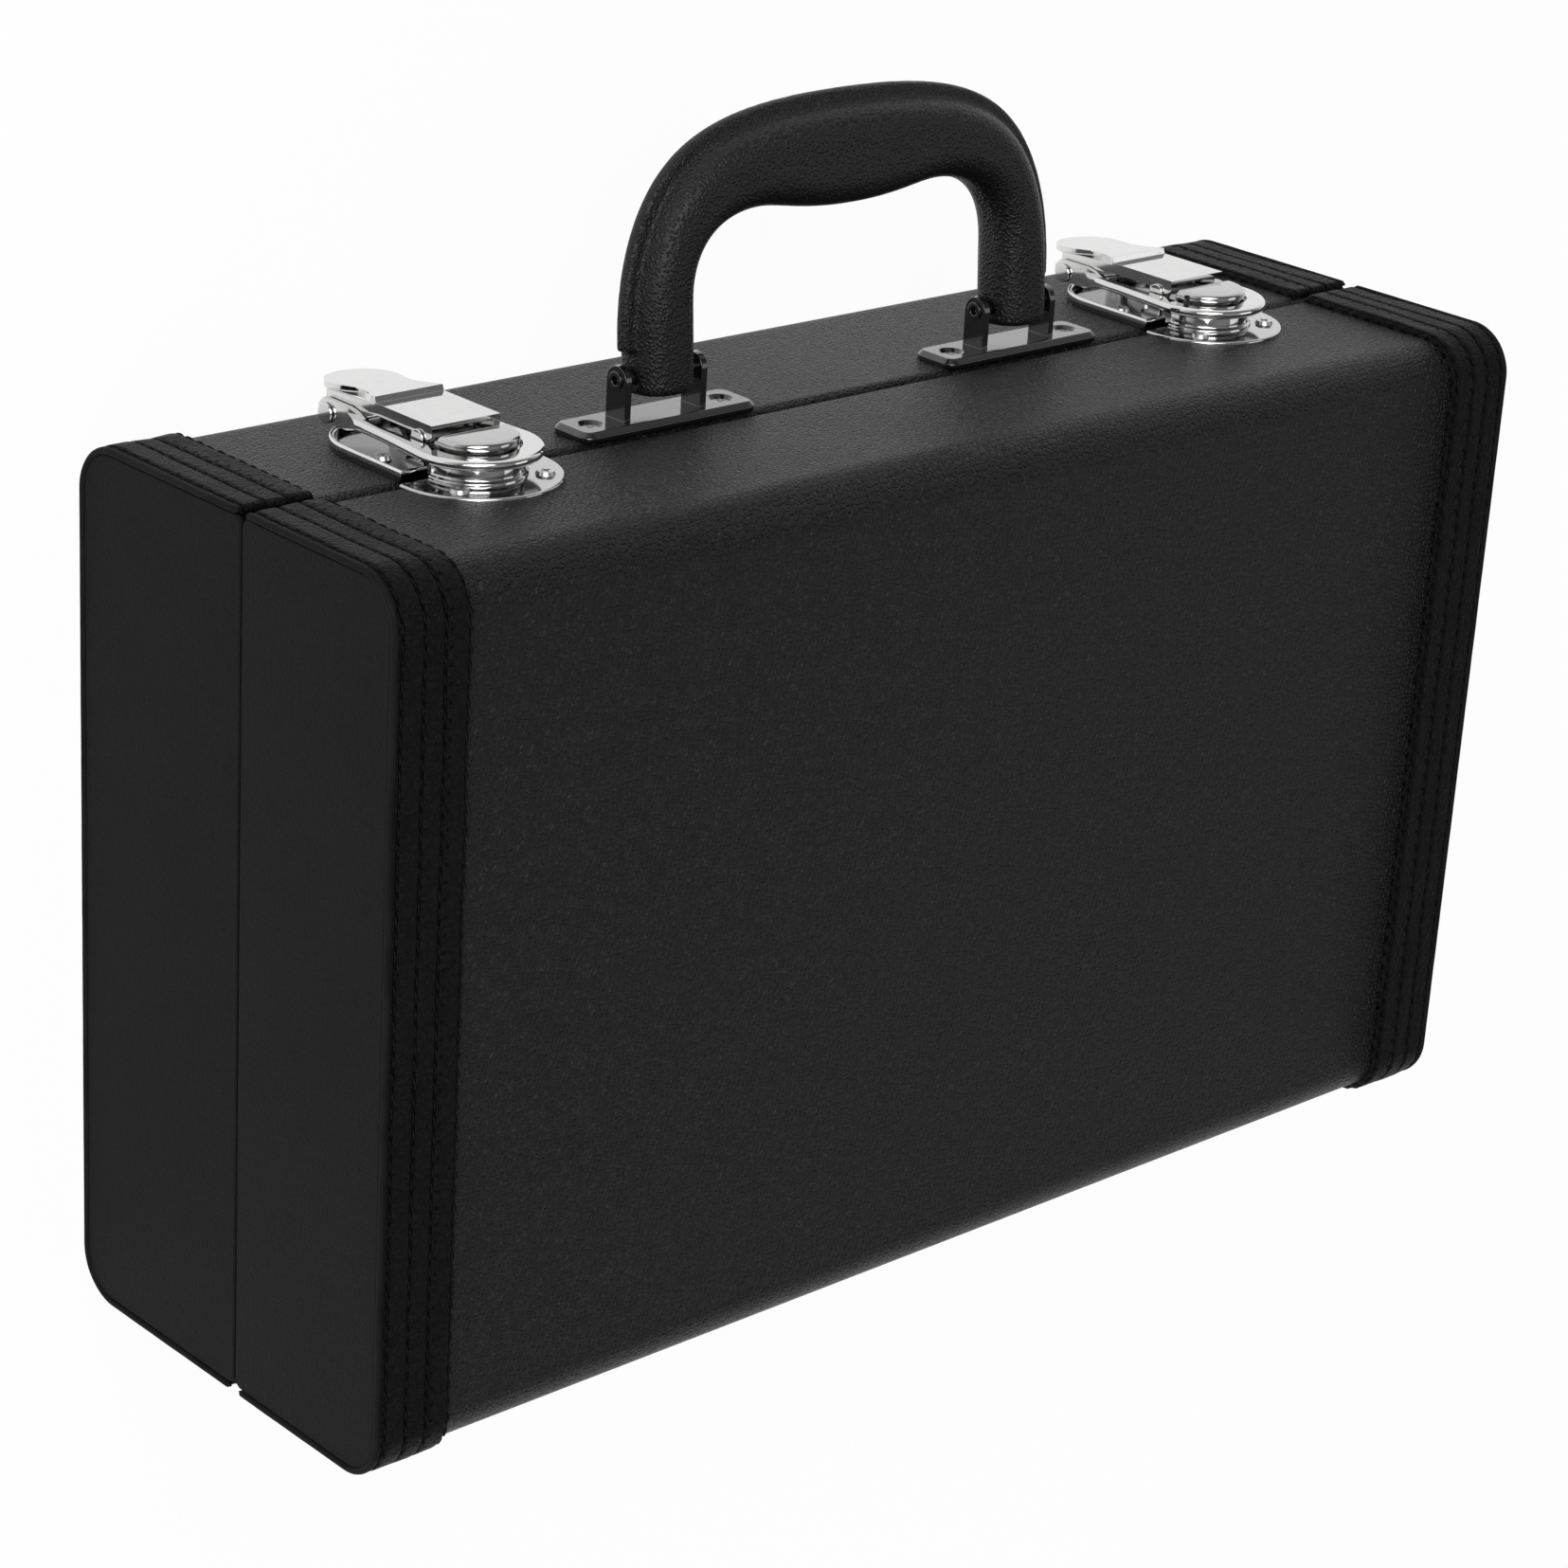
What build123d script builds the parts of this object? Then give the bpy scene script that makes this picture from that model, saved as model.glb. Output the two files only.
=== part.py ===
from build123d import *
from math import cos, radians, sin
import os

# Hard clarinet case, lying shut on its back panel. The base is below the seam and the lid
# above it, the handle and latches face -Y, the hinges face +Y, and X runs along the case.
# The origin is on the floor, under the middle of the whole outline, handle and hinges included.

# ---- case body ----
case_length = 342.0
case_width = 205.0
base_depth = 59.5
lid_depth = 52.5
corner_r = 12.0            # long outer edges, at the end bands
rim_r = 3.0                # rounded edges that form the groove along the seam
seam_gap = 0.3
board_t = 4.5              # plywood
skin_t = 0.9               # leatherette
band_t = 1.8               # padded end bands stand this far above the skin
band_width = 20.3          # from the end of the case to the band's inner edge
band_rim_drop = 1.3        # the bands stop short of the seam
band_edge_r = 0.6
band_rim_r = 1.3
end_recess = 0.6           # the end skin lies this far inside the piping
end_skin_edge_r = 0.45

# ---- lining ----
lining_t = 6.0             # foam strips along the walls
floor_pad_t = 6.0
insert_drop = 2.5          # top of the dividers, below the seam
divider_t = 6.0
joint_row = 38.0
lower_joint_length = 262.0
upper_joint_length = 232.0
bell_length = 112.0
mouthpiece_length = 100.0
mouthpiece_row = 43.0
lid_strip_t = 4.0
lid_pad_t = 12.0
pad_fit = 0.3              # soft pieces stay this far from the walls they sit in

# ---- hinges ----
hinge_from_end = 66.0      # middle of a hinge, from the end of the case
hinge_length = 38.0
hinge_leaf_height = 16.0
hinge_leaf_t = 1.0
hinge_axis_out = 2.1       # pin axis, outside the skin
knuckle_r = 2.3
hinge_pin_r = 1.2
hinge_screw_spacing = 26.0
knuckle_count = 5
knuckle_gap = 0.3
leaf_overlap = 0.5         # the knuckle's tongue runs this far into the leaf
hinge_corner_r = 2.0
hinge_head_r = 2.3
hinge_head_t = 0.6
hinge_pin_head_r = 1.8
hinge_pin_head_t = 0.6

# ---- fasteners and fits ----
screw_r = 1.3
screw_reach = 4.4          # screw tip, below the skin
hole_clearance = 0.05      # round a screw or rivet that stands still
tip_room = 0.2             # under a screw tip
cross_slot_w = 0.6
cross_slot_depth = 0.35
cross_slot_margin = 1.0    # the slots end this far inside the head's edge
head_slope = 20.0          # degrees that the side of a pan head leans in
pin_clearance = 0.06       # running fit round a pin
side_clearance = 0.15      # between a moving plate and the pin head beside it

# ---- handle and its brackets ----
handle_spacing = 109.4     # between the middles of the two brackets
bracket_length = 50.0
bracket_width = 13.0
bracket_t = 2.2
bracket_corner_r = 3.0
bracket_bevel = 1.1
bracket_drop = 6.8         # bracket centre line, below the seam
bracket_screw_spacing = 37.6
bracket_head_r = 2.9
bracket_head_t = 1.5
bracket_head_angle = 90.0
ear_span = 23.6            # over both ears of one bracket
ear_t = 1.8
ear_width = 6.6
pin_height = 10.9          # handle pin axis, above the skin
handle_pin_r = 1.5
handle_head_r = 2.1
handle_head_t = 0.5
eyelet_r = 1.0              # hollow in each end of the pin
eyelet_depth = 1.6
handle_lean = 4.5          # degrees that the handle leans towards the back panel
handle_end_below = 4.0     # handle end, below the pin
arm_width = 15.0
arm_t = 14.8
arm_edge_r = 6.2
arm_end_r = 1.4
arm_straight = 9.0         # the arms start to bend in, above the pin
shoulder_in = 6.4          # half way round the bend, in from the outside of the arms
shoulder_up = 35.6         # and above the pin
grip_top = 53.8            # back of the grip, above the pin
grip_under = 33.4          # highest point of the finger gap, above the pin
gap_corner_in = 16.2       # where the finger gap is highest, in from the insides of the arms
gap_bend = 16.0            # the insides of the arms start to bend, above the pin
swell_drop = 2.2           # the grip's belly hangs this far into the finger gap
welt_out = 3.4             # ridge round the outside of the handle
welt_root = 5.0            # its root, inside the outside of the handle
welt_t = 3.4
welt_start = 6.0           # ends of the ridge, above the pin
welt_edge_r = 1.2

# ---- latches ----
latch_from_end = 58.3      # middle of a latch, from the end of the case
tray_width = 33.6
tray_length = 36.0         # behind the seam
tray_t = 0.8
tray_rim_h = 2.5
tray_rim_t = 1.2
tray_rim_r = 0.55
tray_end_r = 14.5
tray_front_gap = 0.8       # tray's front edge, behind the seam
tray_screw_x = 11.4
tray_screw_back = 14.5
tray_head_r = 2.2
tray_head_t = 0.8
front_room = 0.6           # opening in the tray's rim, each side of the lever
ear_foot = 6.5             # the ear's foot reaches this far behind the pivot
pivot_back = 5.0           # lever pivot, behind the seam
pivot_height = 7.4
pivot_pin_r = 1.3
pivot_ear_gap = 13.2       # between the tray's two ears
pivot_ear_t = 1.2
pivot_ear_r = 2.4
pivot_head_r = 2.0
pivot_head_t = 0.5
lever_width = 18.2
lever_sheet = 1.0
lever_front = 0.6          # front edge of the lever, behind the seam
lever_top = 11.1
panel_length = 20.0
front_lip = 2.6            # height of the lip across the front of the lever
crease_h = 1.3             # the thumb tab steps up this far from the panel
tab_end_h = 10.4           # top of the tab at its rounded end
tab_t = 1.3
tab_back = 45.6            # end of the tab, behind the seam
tab_r = 8.2
waist = 13.4               # narrowest width of the tab
rivet_back = 35.2          # bail rivet, behind the seam
rivet_height = 5.3
rivet_r = 1.4
rivet_head_r = 2.3
rivet_head_t = 0.7
cheek_r = 2.6              # rounded lever cheek round the rivet
cheek_h = 2.6              # height of the cheeks along the panel
cheek_nose = 7.0
pivot_cheek_r = 2.5
cheek_step = 1.5           # the cheek widens this far before the crease
waist_back = 28.5          # narrowest part of the tab, behind the seam
bail_sheet = 1.3
ear_back = 38.3            # rear of the bail's ears, behind the seam
ear_bottom = 3.2
ear_top = 8.4
ear_front = 28.0           # the ears end and the flat arms begin
arm_low = 5.0
bail_t = 2.2
bail_arm_in = 10.7         # inner side of the bail's arms
bail_arm_w = 2.6
ring_in_r = 10.1
ring_out_r = 14.8
ring_edge_r = 1.0
ring_taper = 14.0          # the ring narrows to its arms this far behind the seam
jog_back = 22.0            # the arms bend in towards the ears
jog_inner = 3.0            # inner side of the bend, in front of the ears
ear_round = 1.6

# ---- keepers ----
keeper_centre = 2.6        # middle of the boss and of the bail's ring, in front of the seam
keeper_plate_t = 0.8
keeper_plate_r = 19.2
keeper_plate_edge = 2.2    # straight edge of the plate, in front of the seam
keeper_flat = 1.9          # straight back of the boss, in front of the seam
keeper_flange_r = 11.6
keeper_flange_h = 1.6
keeper_base_r = 10.9
keeper_base_h = 4.5
keeper_neck_r = 9.0
keeper_top_r = 9.5
keeper_top_h = 9.5
keeper_rim_h = 2.0
keeper_edge_r = 0.5
keeper_screw_spacing = 22.8
keeper_screw_front = 12.3
keeper_head_r = 2.2
keeper_head_t = 0.8

# ---- places worked out from the sizes above ----
case_depth = base_depth + lid_depth
seam_z = base_depth
skin_inset = band_t
shell_inset = skin_inset + skin_t
wall_inset = shell_inset + board_t
bead_r = (band_t + skin_t) / 2
half_length = case_length / 2
end_skin_x = half_length - end_recess - skin_t
shell_half = end_skin_x - board_t
cover_half = half_length - 2 * bead_r

side_reach = case_width / 2 - skin_inset
grip_half_span = (handle_spacing + arm_width) / 2
lean = radians(handle_lean)
handle_reach = side_reach + pin_height + (grip_top + welt_out) * cos(lean) + welt_t / 2 * sin(lean)
hinge_reach = side_reach + hinge_axis_out + knuckle_r
mid_y = (handle_reach - hinge_reach) / 2
front_y = mid_y - side_reach
hinge_y = mid_y + side_reach

same_place = 0.01          # closer than this counts as the same place when edges are picked

os.makedirs("parts", exist_ok=True)


def save(builder, name):
    builder.part.label = name
    export_step(builder.part, f"parts/{name}.step")


def front_face(x):
    # X along the case, Y up towards the lid from the seam, Z out of the handle side
    return Plane(origin=(x, front_y, seam_z), x_dir=(1, 0, 0), z_dir=(0, -1, 0))


def front_side(x):
    # seen along the case: X up towards the lid from the seam, Y out of the handle side
    return Plane(origin=(x, front_y, seam_z), x_dir=(0, 0, 1), z_dir=(1, 0, 0))


def hinge_face(x):
    # X along the case, Y up towards the lid from the seam, Z out of the hinge side
    return Plane(origin=(x, hinge_y, seam_z), x_dir=(-1, 0, 0), z_dir=(0, 1, 0))


def on_plane(plane, points):
    return [plane.location * Location((x, y, 0)) for x, y in points]


# screw places, in the face they go into: X along the case, Y from the seam
hinge_x = (hinge_from_end - half_length, half_length - hinge_from_end)
latch_x = (half_length - latch_from_end, latch_from_end - half_length)
bracket_x = (handle_spacing / 2, -handle_spacing / 2)
hinge_screw_up = knuckle_r + hinge_leaf_height / 2
bracket_screws = [(x + s * bracket_screw_spacing / 2, -bracket_drop) for x in bracket_x for s in (-1, 1)]
tray_screws = [(x + s * tray_screw_x, -tray_screw_back) for x in latch_x for s in (-1, 1)]
keeper_screws = [(x + s * keeper_screw_spacing / 2, keeper_screw_front) for x in latch_x for s in (-1, 1)]
hinge_screws = [(x + s * hinge_screw_spacing / 2, hinge_screw_up) for x in hinge_x for s in (-1, 1)]

halves = {
    "base": {"closed": 0.0, "up": 1, "front": bracket_screws + tray_screws,
             "hinge": [(x, -y) for x, y in hinge_screws]},
    "lid": {"closed": case_depth, "up": -1, "front": keeper_screws, "hinge": hinge_screws},
}


def half_section(half, inset, rim_drop=0.0, rim_round=0.0):
    # outline of one half seen along the case, moved inwards by inset
    up = half["up"]
    low = half["closed"] + up * inset
    rim = seam_z - up * (seam_gap / 2 + rim_drop)
    with BuildSketch() as outline:
        with Locations((mid_y, (low + rim) / 2)):
            Rectangle(case_width - 2 * inset, abs(rim - low))
        fillet([v for v in outline.vertices() if abs(v.Y - low) < same_place], corner_r - inset)
        if rim_round > 0:
            fillet([v for v in outline.vertices() if abs(v.Y - rim) < same_place], rim_round)
    return outline.sketch


def make_half(name):
    half = halves[name]
    up = half["up"]
    past_rim = -2 * rim_r      # cuts run out beyond the rim
    shell_outline = half_section(half, shell_inset, skin_t, rim_r - skin_t)
    cover_outline = half_section(half, skin_inset, 0.0, rim_r)
    hollow = half_section(half, wall_inset, past_rim)
    band_outline = half_section(half, 0.0, band_rim_drop)
    under_band = half_section(half, skin_inset, past_rim)
    front_holes = on_plane(front_face(0), half["front"])
    hinge_holes = on_plane(hinge_face(0), [(-x, y) for x, y in half["hinge"]])

    with BuildPart() as shell:
        with BuildSketch(Plane.YZ.offset(-shell_half)):
            add(shell_outline)
            add(hollow, mode=Mode.SUBTRACT)
        extrude(amount=2 * shell_half)
        with Locations(*front_holes, *hinge_holes):
            Hole(screw_r + hole_clearance, screw_reach + tip_room)
    save(shell, f"{name}_shell")

    with BuildPart() as cover:
        with BuildSketch(Plane.YZ.offset(-cover_half)):
            add(cover_outline)
            add(shell_outline, mode=Mode.SUBTRACT)
            add(hollow, mode=Mode.SUBTRACT)
        extrude(amount=2 * cover_half)
        with Locations(*front_holes, *hinge_holes):
            Hole(screw_r + hole_clearance, 2 * skin_t)
    save(cover, f"{name}_cover")

    rim_z = seam_z - up * seam_gap / 2
    for side, end in (("left", 1), ("right", -1)):
        with BuildPart() as board:
            with BuildSketch(Plane.YZ.offset(end * shell_half)):
                add(shell_outline)
            extrude(amount=end * board_t)
        save(board, f"{name}_end_board_{side}")

        with BuildPart() as end_skin:
            with BuildSketch(Plane.YZ.offset(end * end_skin_x)):
                add(half_section(half, shell_inset, 0.0, rim_r - skin_t))
            extrude(amount=end * skin_t)
            outer_face = end_skin.faces().sort_by(Axis.X)[-1 if end > 0 else 0]
            fillet(outer_face.edges(), end_skin_edge_r)
            with BuildSketch(Plane.XY.offset(rim_z)):
                with Locations((end * (end_skin_x - board_t / 2), mid_y)):
                    Rectangle(board_t, case_width - 2 * wall_inset)
            extrude(amount=-up * skin_t)
        save(end_skin, f"{name}_end_skin_{side}")

        with BuildPart() as band:
            with BuildSketch(Plane.YZ.offset(end * (half_length - band_width))):
                add(band_outline)
                add(under_band, mode=Mode.SUBTRACT)
            extrude(amount=end * (band_width - 2 * bead_r))
            rims = band.edges().filter_by(Axis.X).group_by(Axis.Z)[-1 if up > 0 else 0]
            fillet(rims.group_by(Axis.Y)[0] + rims.group_by(Axis.Y)[-1], band_rim_r)
            inner_face = band.faces().filter_by(Axis.X).sort_by(Axis.X)[0 if end > 0 else -1]
            outer_arcs = [e for e in inner_face.edges().filter_by(GeomType.CIRCLE)
                          if abs(e.radius - corner_r) < same_place]
            fillet(outer_arcs, band_edge_r)
        save(band, f"{name}_band_{side}")

        bead_rim = rim_z - up * band_rim_drop
        bead_near = case_width / 2 - bead_r
        bead_low = half["closed"] + up * bead_r
        with BuildPart() as piping:
            with BuildLine(Plane.YZ.offset(end * (half_length - bead_r))) as route:
                FilletPolyline((mid_y - bead_near, bead_rim), (mid_y - bead_near, bead_low),
                               (mid_y + bead_near, bead_low), (mid_y + bead_near, bead_rim),
                               radius=corner_r - bead_r)
            with BuildSketch(Plane(origin=route.line @ 0, z_dir=route.line % 0)):
                Circle(bead_r)
            sweep()
        save(piping, f"{name}_piping_{side}")


for name in halves:
    make_half(name)

# ---- lining of the base: floor pad, wall strips and dividers with the hollows between them ----
inner_half_y = case_width / 2 - wall_inset
floor_top_z = wall_inset + floor_pad_t
insert_top_z = seam_z - insert_drop
pocket_half_x = shell_half - lining_t
pocket_half_y = inner_half_y - lining_t
row_1 = -pocket_half_y + joint_row
row_2 = row_1 + divider_t + joint_row
row_3 = row_2 + divider_t
lower_end = -pocket_half_x + lower_joint_length
barrel_end = pocket_half_x - upper_joint_length - divider_t
bell_end = -pocket_half_x + bell_length
mouth_start = bell_end + divider_t
mouth_end = mouth_start + mouthpiece_length
mouth_top = row_3 + mouthpiece_row


def blocks(name, z0, z1, corners):
    # one plain block for each (x0, x1, y0, y1), with y from the middle of the case
    with BuildPart() as foam:
        with BuildSketch(Plane.XY.offset(z0)):
            for x0, x1, y0, y1 in corners:
                with Locations(((x0 + x1) / 2, mid_y + (y0 + y1) / 2)):
                    Rectangle(x1 - x0, y1 - y0)
        extrude(amount=z1 - z0)
    save(foam, name)


def floor_pad(name, z_low, t, corner_row):
    with BuildPart() as pad:
        with BuildSketch(Plane.XY.offset(z_low)):
            with Locations((0, mid_y)):
                Rectangle(2 * shell_half, 2 * inner_half_y)
        extrude(amount=t)
        long_edges = pad.edges().filter_by(Axis.X).group_by(Axis.Z)[corner_row]
        fillet(long_edges, corner_r - wall_inset + pad_fit)
    save(pad, name)


floor_pad("insert_floor", wall_inset, floor_pad_t, 0)
blocks("insert_side_strips", floor_top_z, insert_top_z,
       [(-shell_half, shell_half, s * pocket_half_y, s * inner_half_y) for s in (-1, 1)])
blocks("insert_end_strips", floor_top_z, insert_top_z,
       [(s * pocket_half_x, s * shell_half, -pocket_half_y, pocket_half_y) for s in (-1, 1)])
blocks("insert_long_dividers", floor_top_z, insert_top_z,
       [(-pocket_half_x, pocket_half_x, row_1, row_1 + divider_t),
        (-pocket_half_x, pocket_half_x, row_2, row_3),
        (mouth_start, mouth_end, mouth_top, mouth_top + divider_t)])
blocks("insert_cross_dividers", floor_top_z, insert_top_z,
       [(lower_end, lower_end + divider_t, -pocket_half_y, row_1),
        (barrel_end, barrel_end + divider_t, row_1 + divider_t, row_2),
        (bell_end, mouth_start, row_3, pocket_half_y),
        (mouth_end, mouth_end + divider_t, row_3, pocket_half_y)])

# ---- lining of the lid ----
lid_rim_z = seam_z + seam_gap / 2
lid_pad_z = case_depth - wall_inset - lid_pad_t
floor_pad("lid_pad", lid_pad_z, lid_pad_t, -1)
blocks("lid_side_strips", lid_rim_z, lid_pad_z,
       [(-shell_half, shell_half, s * (inner_half_y - lid_strip_t), s * inner_half_y) for s in (-1, 1)])
blocks("lid_end_strips", lid_rim_z, lid_pad_z,
       [(s * (shell_half - lid_strip_t), s * shell_half, lid_strip_t - inner_half_y,
         inner_half_y - lid_strip_t) for s in (-1, 1)])


def screws(name, plane, places, low, head_r, head_t, countersunk=False):
    # pan heads stand on a plate whose top is at low, countersunk heads end flush with it
    shank_top = low - head_t if countersunk else low
    slot_length = 2 * (head_r - cross_slot_margin)
    with BuildPart() as group:
        with BuildSketch(plane.offset(-screw_reach)):
            with Locations(*places):
                Circle(screw_r)
        extrude(amount=screw_reach + shank_top)
        for x, y in places:
            head_plane = Plane(plane.location * Location((x, y, shank_top)))
            with BuildSketch(head_plane):
                Circle(screw_r if countersunk else head_r)
            if countersunk:
                with BuildSketch(head_plane.offset(head_t)):
                    Circle(head_r)
                loft()
            else:
                extrude(amount=head_t, taper=head_slope)
            slot_plane = head_plane.offset(head_t)
            with BuildSketch(slot_plane):
                Rectangle(slot_length, cross_slot_w)
                Rectangle(cross_slot_w, slot_length)
            extrude(amount=-cross_slot_depth, mode=Mode.SUBTRACT)
    save(group, name)


# ---- hinges ----
def hinge_side(x):
    # seen along the case: X up towards the lid from the seam, Y out of the hinge side
    return Plane(origin=(x, hinge_y, seam_z), x_dir=(0, 0, 1), z_dir=(-1, 0, 0))


knuckle_length = (hinge_length - (knuckle_count - 1) * knuckle_gap) / knuckle_count


def make_leaf(name, x, up, first):
    # up is +1 on the lid and -1 on the base, first is the number of its first knuckle
    plate_start = knuckle_r + knuckle_gap
    tongue_start = plate_start / 2
    with BuildPart() as leaf:
        with BuildSketch(hinge_face(x)) as plate:
            with Locations((0, up * (plate_start + hinge_leaf_height) / 2)):
                Rectangle(hinge_length, hinge_leaf_height - plate_start)
            far = plate.vertices().group_by(Axis.Z)[-1 if up > 0 else 0]
            fillet(far, hinge_corner_r)
        extrude(amount=hinge_leaf_t)
        for n in range(first, knuckle_count, 2):
            start = -hinge_length / 2 + n * (knuckle_length + knuckle_gap)
            with BuildSketch(hinge_side(x - start)):
                with Locations((0, hinge_axis_out)):
                    Circle(knuckle_r)
                with Locations((up * (plate_start + leaf_overlap + tongue_start) / 2, hinge_leaf_t / 2)):
                    Rectangle(plate_start + leaf_overlap - tongue_start, hinge_leaf_t)
            extrude(amount=knuckle_length)
        with BuildSketch(hinge_side(x + hinge_length / 2)):
            with Locations((0, hinge_axis_out)):
                Circle(hinge_pin_r + pin_clearance)
        extrude(amount=hinge_length, mode=Mode.SUBTRACT)
        face = hinge_face(x)
        places = [(s * hinge_screw_spacing / 2, up * hinge_screw_up) for s in (-1, 1)]
        with Locations(*on_plane(face.offset(hinge_leaf_t), places)):
            Hole(screw_r + hole_clearance, hinge_leaf_t)
    save(leaf, name)


for side, x in zip(("right", "left"), hinge_x):
    make_leaf(f"hinge_leaf_base_{side}", x, -1, 0)
    make_leaf(f"hinge_leaf_lid_{side}", x, 1, 1)
    with BuildPart() as hinge_pin:
        with BuildSketch(hinge_side(x + hinge_length / 2)):
            with Locations((0, hinge_axis_out)):
                Circle(hinge_pin_r)
        extrude(amount=hinge_length)
        for end in (-1, 1):
            with BuildSketch(hinge_side(x + end * hinge_length / 2)):
                with Locations((0, hinge_axis_out)):
                    Circle(hinge_pin_head_r)
            extrude(amount=-end * hinge_pin_head_t)
    save(hinge_pin, f"hinge_pin_{side}")

screws("hinge_screws_base", hinge_face(0), [(-x, -y) for x, y in hinge_screws], hinge_leaf_t,
       hinge_head_r, hinge_head_t)
screws("hinge_screws_lid", hinge_face(0), [(-x, y) for x, y in hinge_screws], hinge_leaf_t,
       hinge_head_r, hinge_head_t)


# ---- handle brackets ----
def make_bracket(name, x):
    face = front_face(x)
    pin_room = handle_pin_r + hole_clearance
    with BuildPart() as bracket:
        with BuildSketch(face):
            with Locations((0, -bracket_drop)):
                RectangleRounded(bracket_length, bracket_width, bracket_corner_r)
        extrude(amount=bracket_t)
        top_edges = bracket.faces().sort_by(Axis.Y)[0].edges()
        chamfer(top_edges, bracket_bevel)
        for s in (-1, 1):
            with BuildSketch(front_side(x + s * ear_span / 2)):
                with Locations((-bracket_drop, pin_height)):
                    Circle(ear_width / 2)
                with Locations((-bracket_drop, (pin_height + bracket_t) / 2 - bracket_bevel / 2)):
                    Rectangle(ear_width, pin_height - bracket_t + bracket_bevel)
            extrude(amount=-s * ear_t)
        with BuildSketch(front_side(x + ear_span / 2)):
            with Locations((-bracket_drop, pin_height)):
                Circle(pin_room)
        extrude(amount=-ear_span, mode=Mode.SUBTRACT)
        places = [(s * bracket_screw_spacing / 2, -bracket_drop) for s in (-1, 1)]
        with Locations(*on_plane(face.offset(bracket_t), places)):
            CounterSinkHole(screw_r + hole_clearance, bracket_head_r + hole_clearance,
                            bracket_t, bracket_head_angle)
    save(bracket, name)


def make_handle_pin(name, x):
    with BuildPart() as pin:
        with BuildSketch(front_side(x - ear_span / 2)):
            with Locations((-bracket_drop, pin_height)):
                Circle(handle_pin_r)
        extrude(amount=ear_span)
        for s in (-1, 1):
            with BuildSketch(front_side(x + s * ear_span / 2)):
                with Locations((-bracket_drop, pin_height)):
                    Circle(handle_head_r)
            extrude(amount=s * handle_head_t)
            with BuildSketch(front_side(x + s * (ear_span / 2 + handle_head_t))):
                with Locations((-bracket_drop, pin_height)):
                    Circle(eyelet_r)
            extrude(amount=-s * eyelet_depth, mode=Mode.SUBTRACT)
    save(pin, name)


for side, x in zip(("left", "right"), bracket_x):
    make_bracket(f"handle_bracket_{side}", x)
    make_handle_pin(f"handle_pin_{side}", x)

screws("handle_screws", front_face(0), bracket_screws, bracket_t, bracket_head_r, bracket_head_t,
       countersunk=True)

# ---- handle ----
# X along the case, Y up from the pins in the plane of the handle, Z towards the back panel
handle_plane = Plane(origin=(0, front_y - pin_height, seam_z - bracket_drop), x_dir=(1, 0, 0),
                     z_dir=(0, sin(lean), -cos(lean)))


def outer_points(out):
    # where the arm starts to bend, the shoulder and the top of the grip, moved outwards
    along = out * sin(radians(45))
    return ((grip_half_span + out, arm_straight),
            (grip_half_span - shoulder_in + along, shoulder_up + along), (0, grip_top + out))


with BuildSketch() as handle_outline:
    outer_side = outer_points(0)
    with BuildLine():
        Line((grip_half_span, -handle_end_below), outer_side[0])
        Spline(*outer_side, tangents=((0, 1), (-1, 0)))
        mirror(about=Plane.YZ)
        Line((-grip_half_span, -handle_end_below), (grip_half_span, -handle_end_below))
    make_face()

with BuildSketch() as finger_gap:
    gap_half = grip_half_span - arm_width
    with BuildLine():
        Line((0, -handle_end_below), (gap_half, -handle_end_below))
        Line((gap_half, -handle_end_below), (gap_half, gap_bend))
        Spline((gap_half, gap_bend), (gap_half - gap_corner_in, grip_under), (0, grip_under - swell_drop),
               tangents=((0, 1), (-1, 0)))
        mirror(about=Plane.YZ)
    make_face()

with BuildSketch() as welt_outline:
    for out, mode in ((welt_out, Mode.ADD), (-welt_root, Mode.SUBTRACT)):
        outer_side = outer_points(out)
        side_x = outer_side[0][0]
        with BuildLine():
            Line((side_x, welt_start), outer_side[0])
            Spline(*outer_side, tangents=((0, 1), (-1, 0)))
            mirror(about=Plane.YZ)
            Line((-side_x, welt_start), (side_x, welt_start))
        make_face(mode=mode)

with BuildPart() as grip_body:
    with BuildSketch(Plane.XY.offset(-arm_t / 2)):
        add(handle_outline.sketch)
        add(finger_gap.sketch, mode=Mode.SUBTRACT)
    extrude(amount=arm_t)
    arm_ends = grip_body.faces().filter_by(Axis.Y).group_by(Axis.Y)[0]
    end_edges = [edge for face in arm_ends for edge in face.edges()]
    end_spots = [edge.center() for edge in end_edges]
    flat_faces = grip_body.faces().filter_by(Axis.Z)
    long_edges = [edge for face in flat_faces for edge in face.edges()
                  if all((edge.center() - spot).length > same_place for spot in end_spots)]
    fillet(long_edges, arm_edge_r)
    arm_ends = grip_body.faces().filter_by(Axis.Y).group_by(Axis.Y)[0]
    fillet([edge for face in arm_ends for edge in face.edges()], arm_end_r)

with BuildPart() as welt:
    with BuildSketch(Plane.XY.offset(-welt_t / 2)):
        add(welt_outline.sketch)
    extrude(amount=welt_t)
    flat_edges = [edge for face in welt.faces().filter_by(Axis.Z) for edge in face.edges()]
    curved = ShapeList(flat_edges).sort_by(SortBy.LENGTH)[-4:]
    welt_x = grip_half_span + welt_out
    straight = [edge for edge in flat_edges if abs(abs(edge.center().X) - welt_x) < same_place]
    fillet(curved + straight, welt_edge_r)

with BuildPart() as handle_grip:
    with Locations(handle_plane.location):
        add(grip_body.part)
        add(welt.part)
    with BuildSketch(front_side(handle_spacing / 2 + arm_width)):
        with Locations((-bracket_drop, pin_height)):
            Circle(handle_pin_r + pin_clearance)
    extrude(amount=-handle_spacing - 2 * arm_width, mode=Mode.SUBTRACT)
save(handle_grip, "handle_grip")


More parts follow.
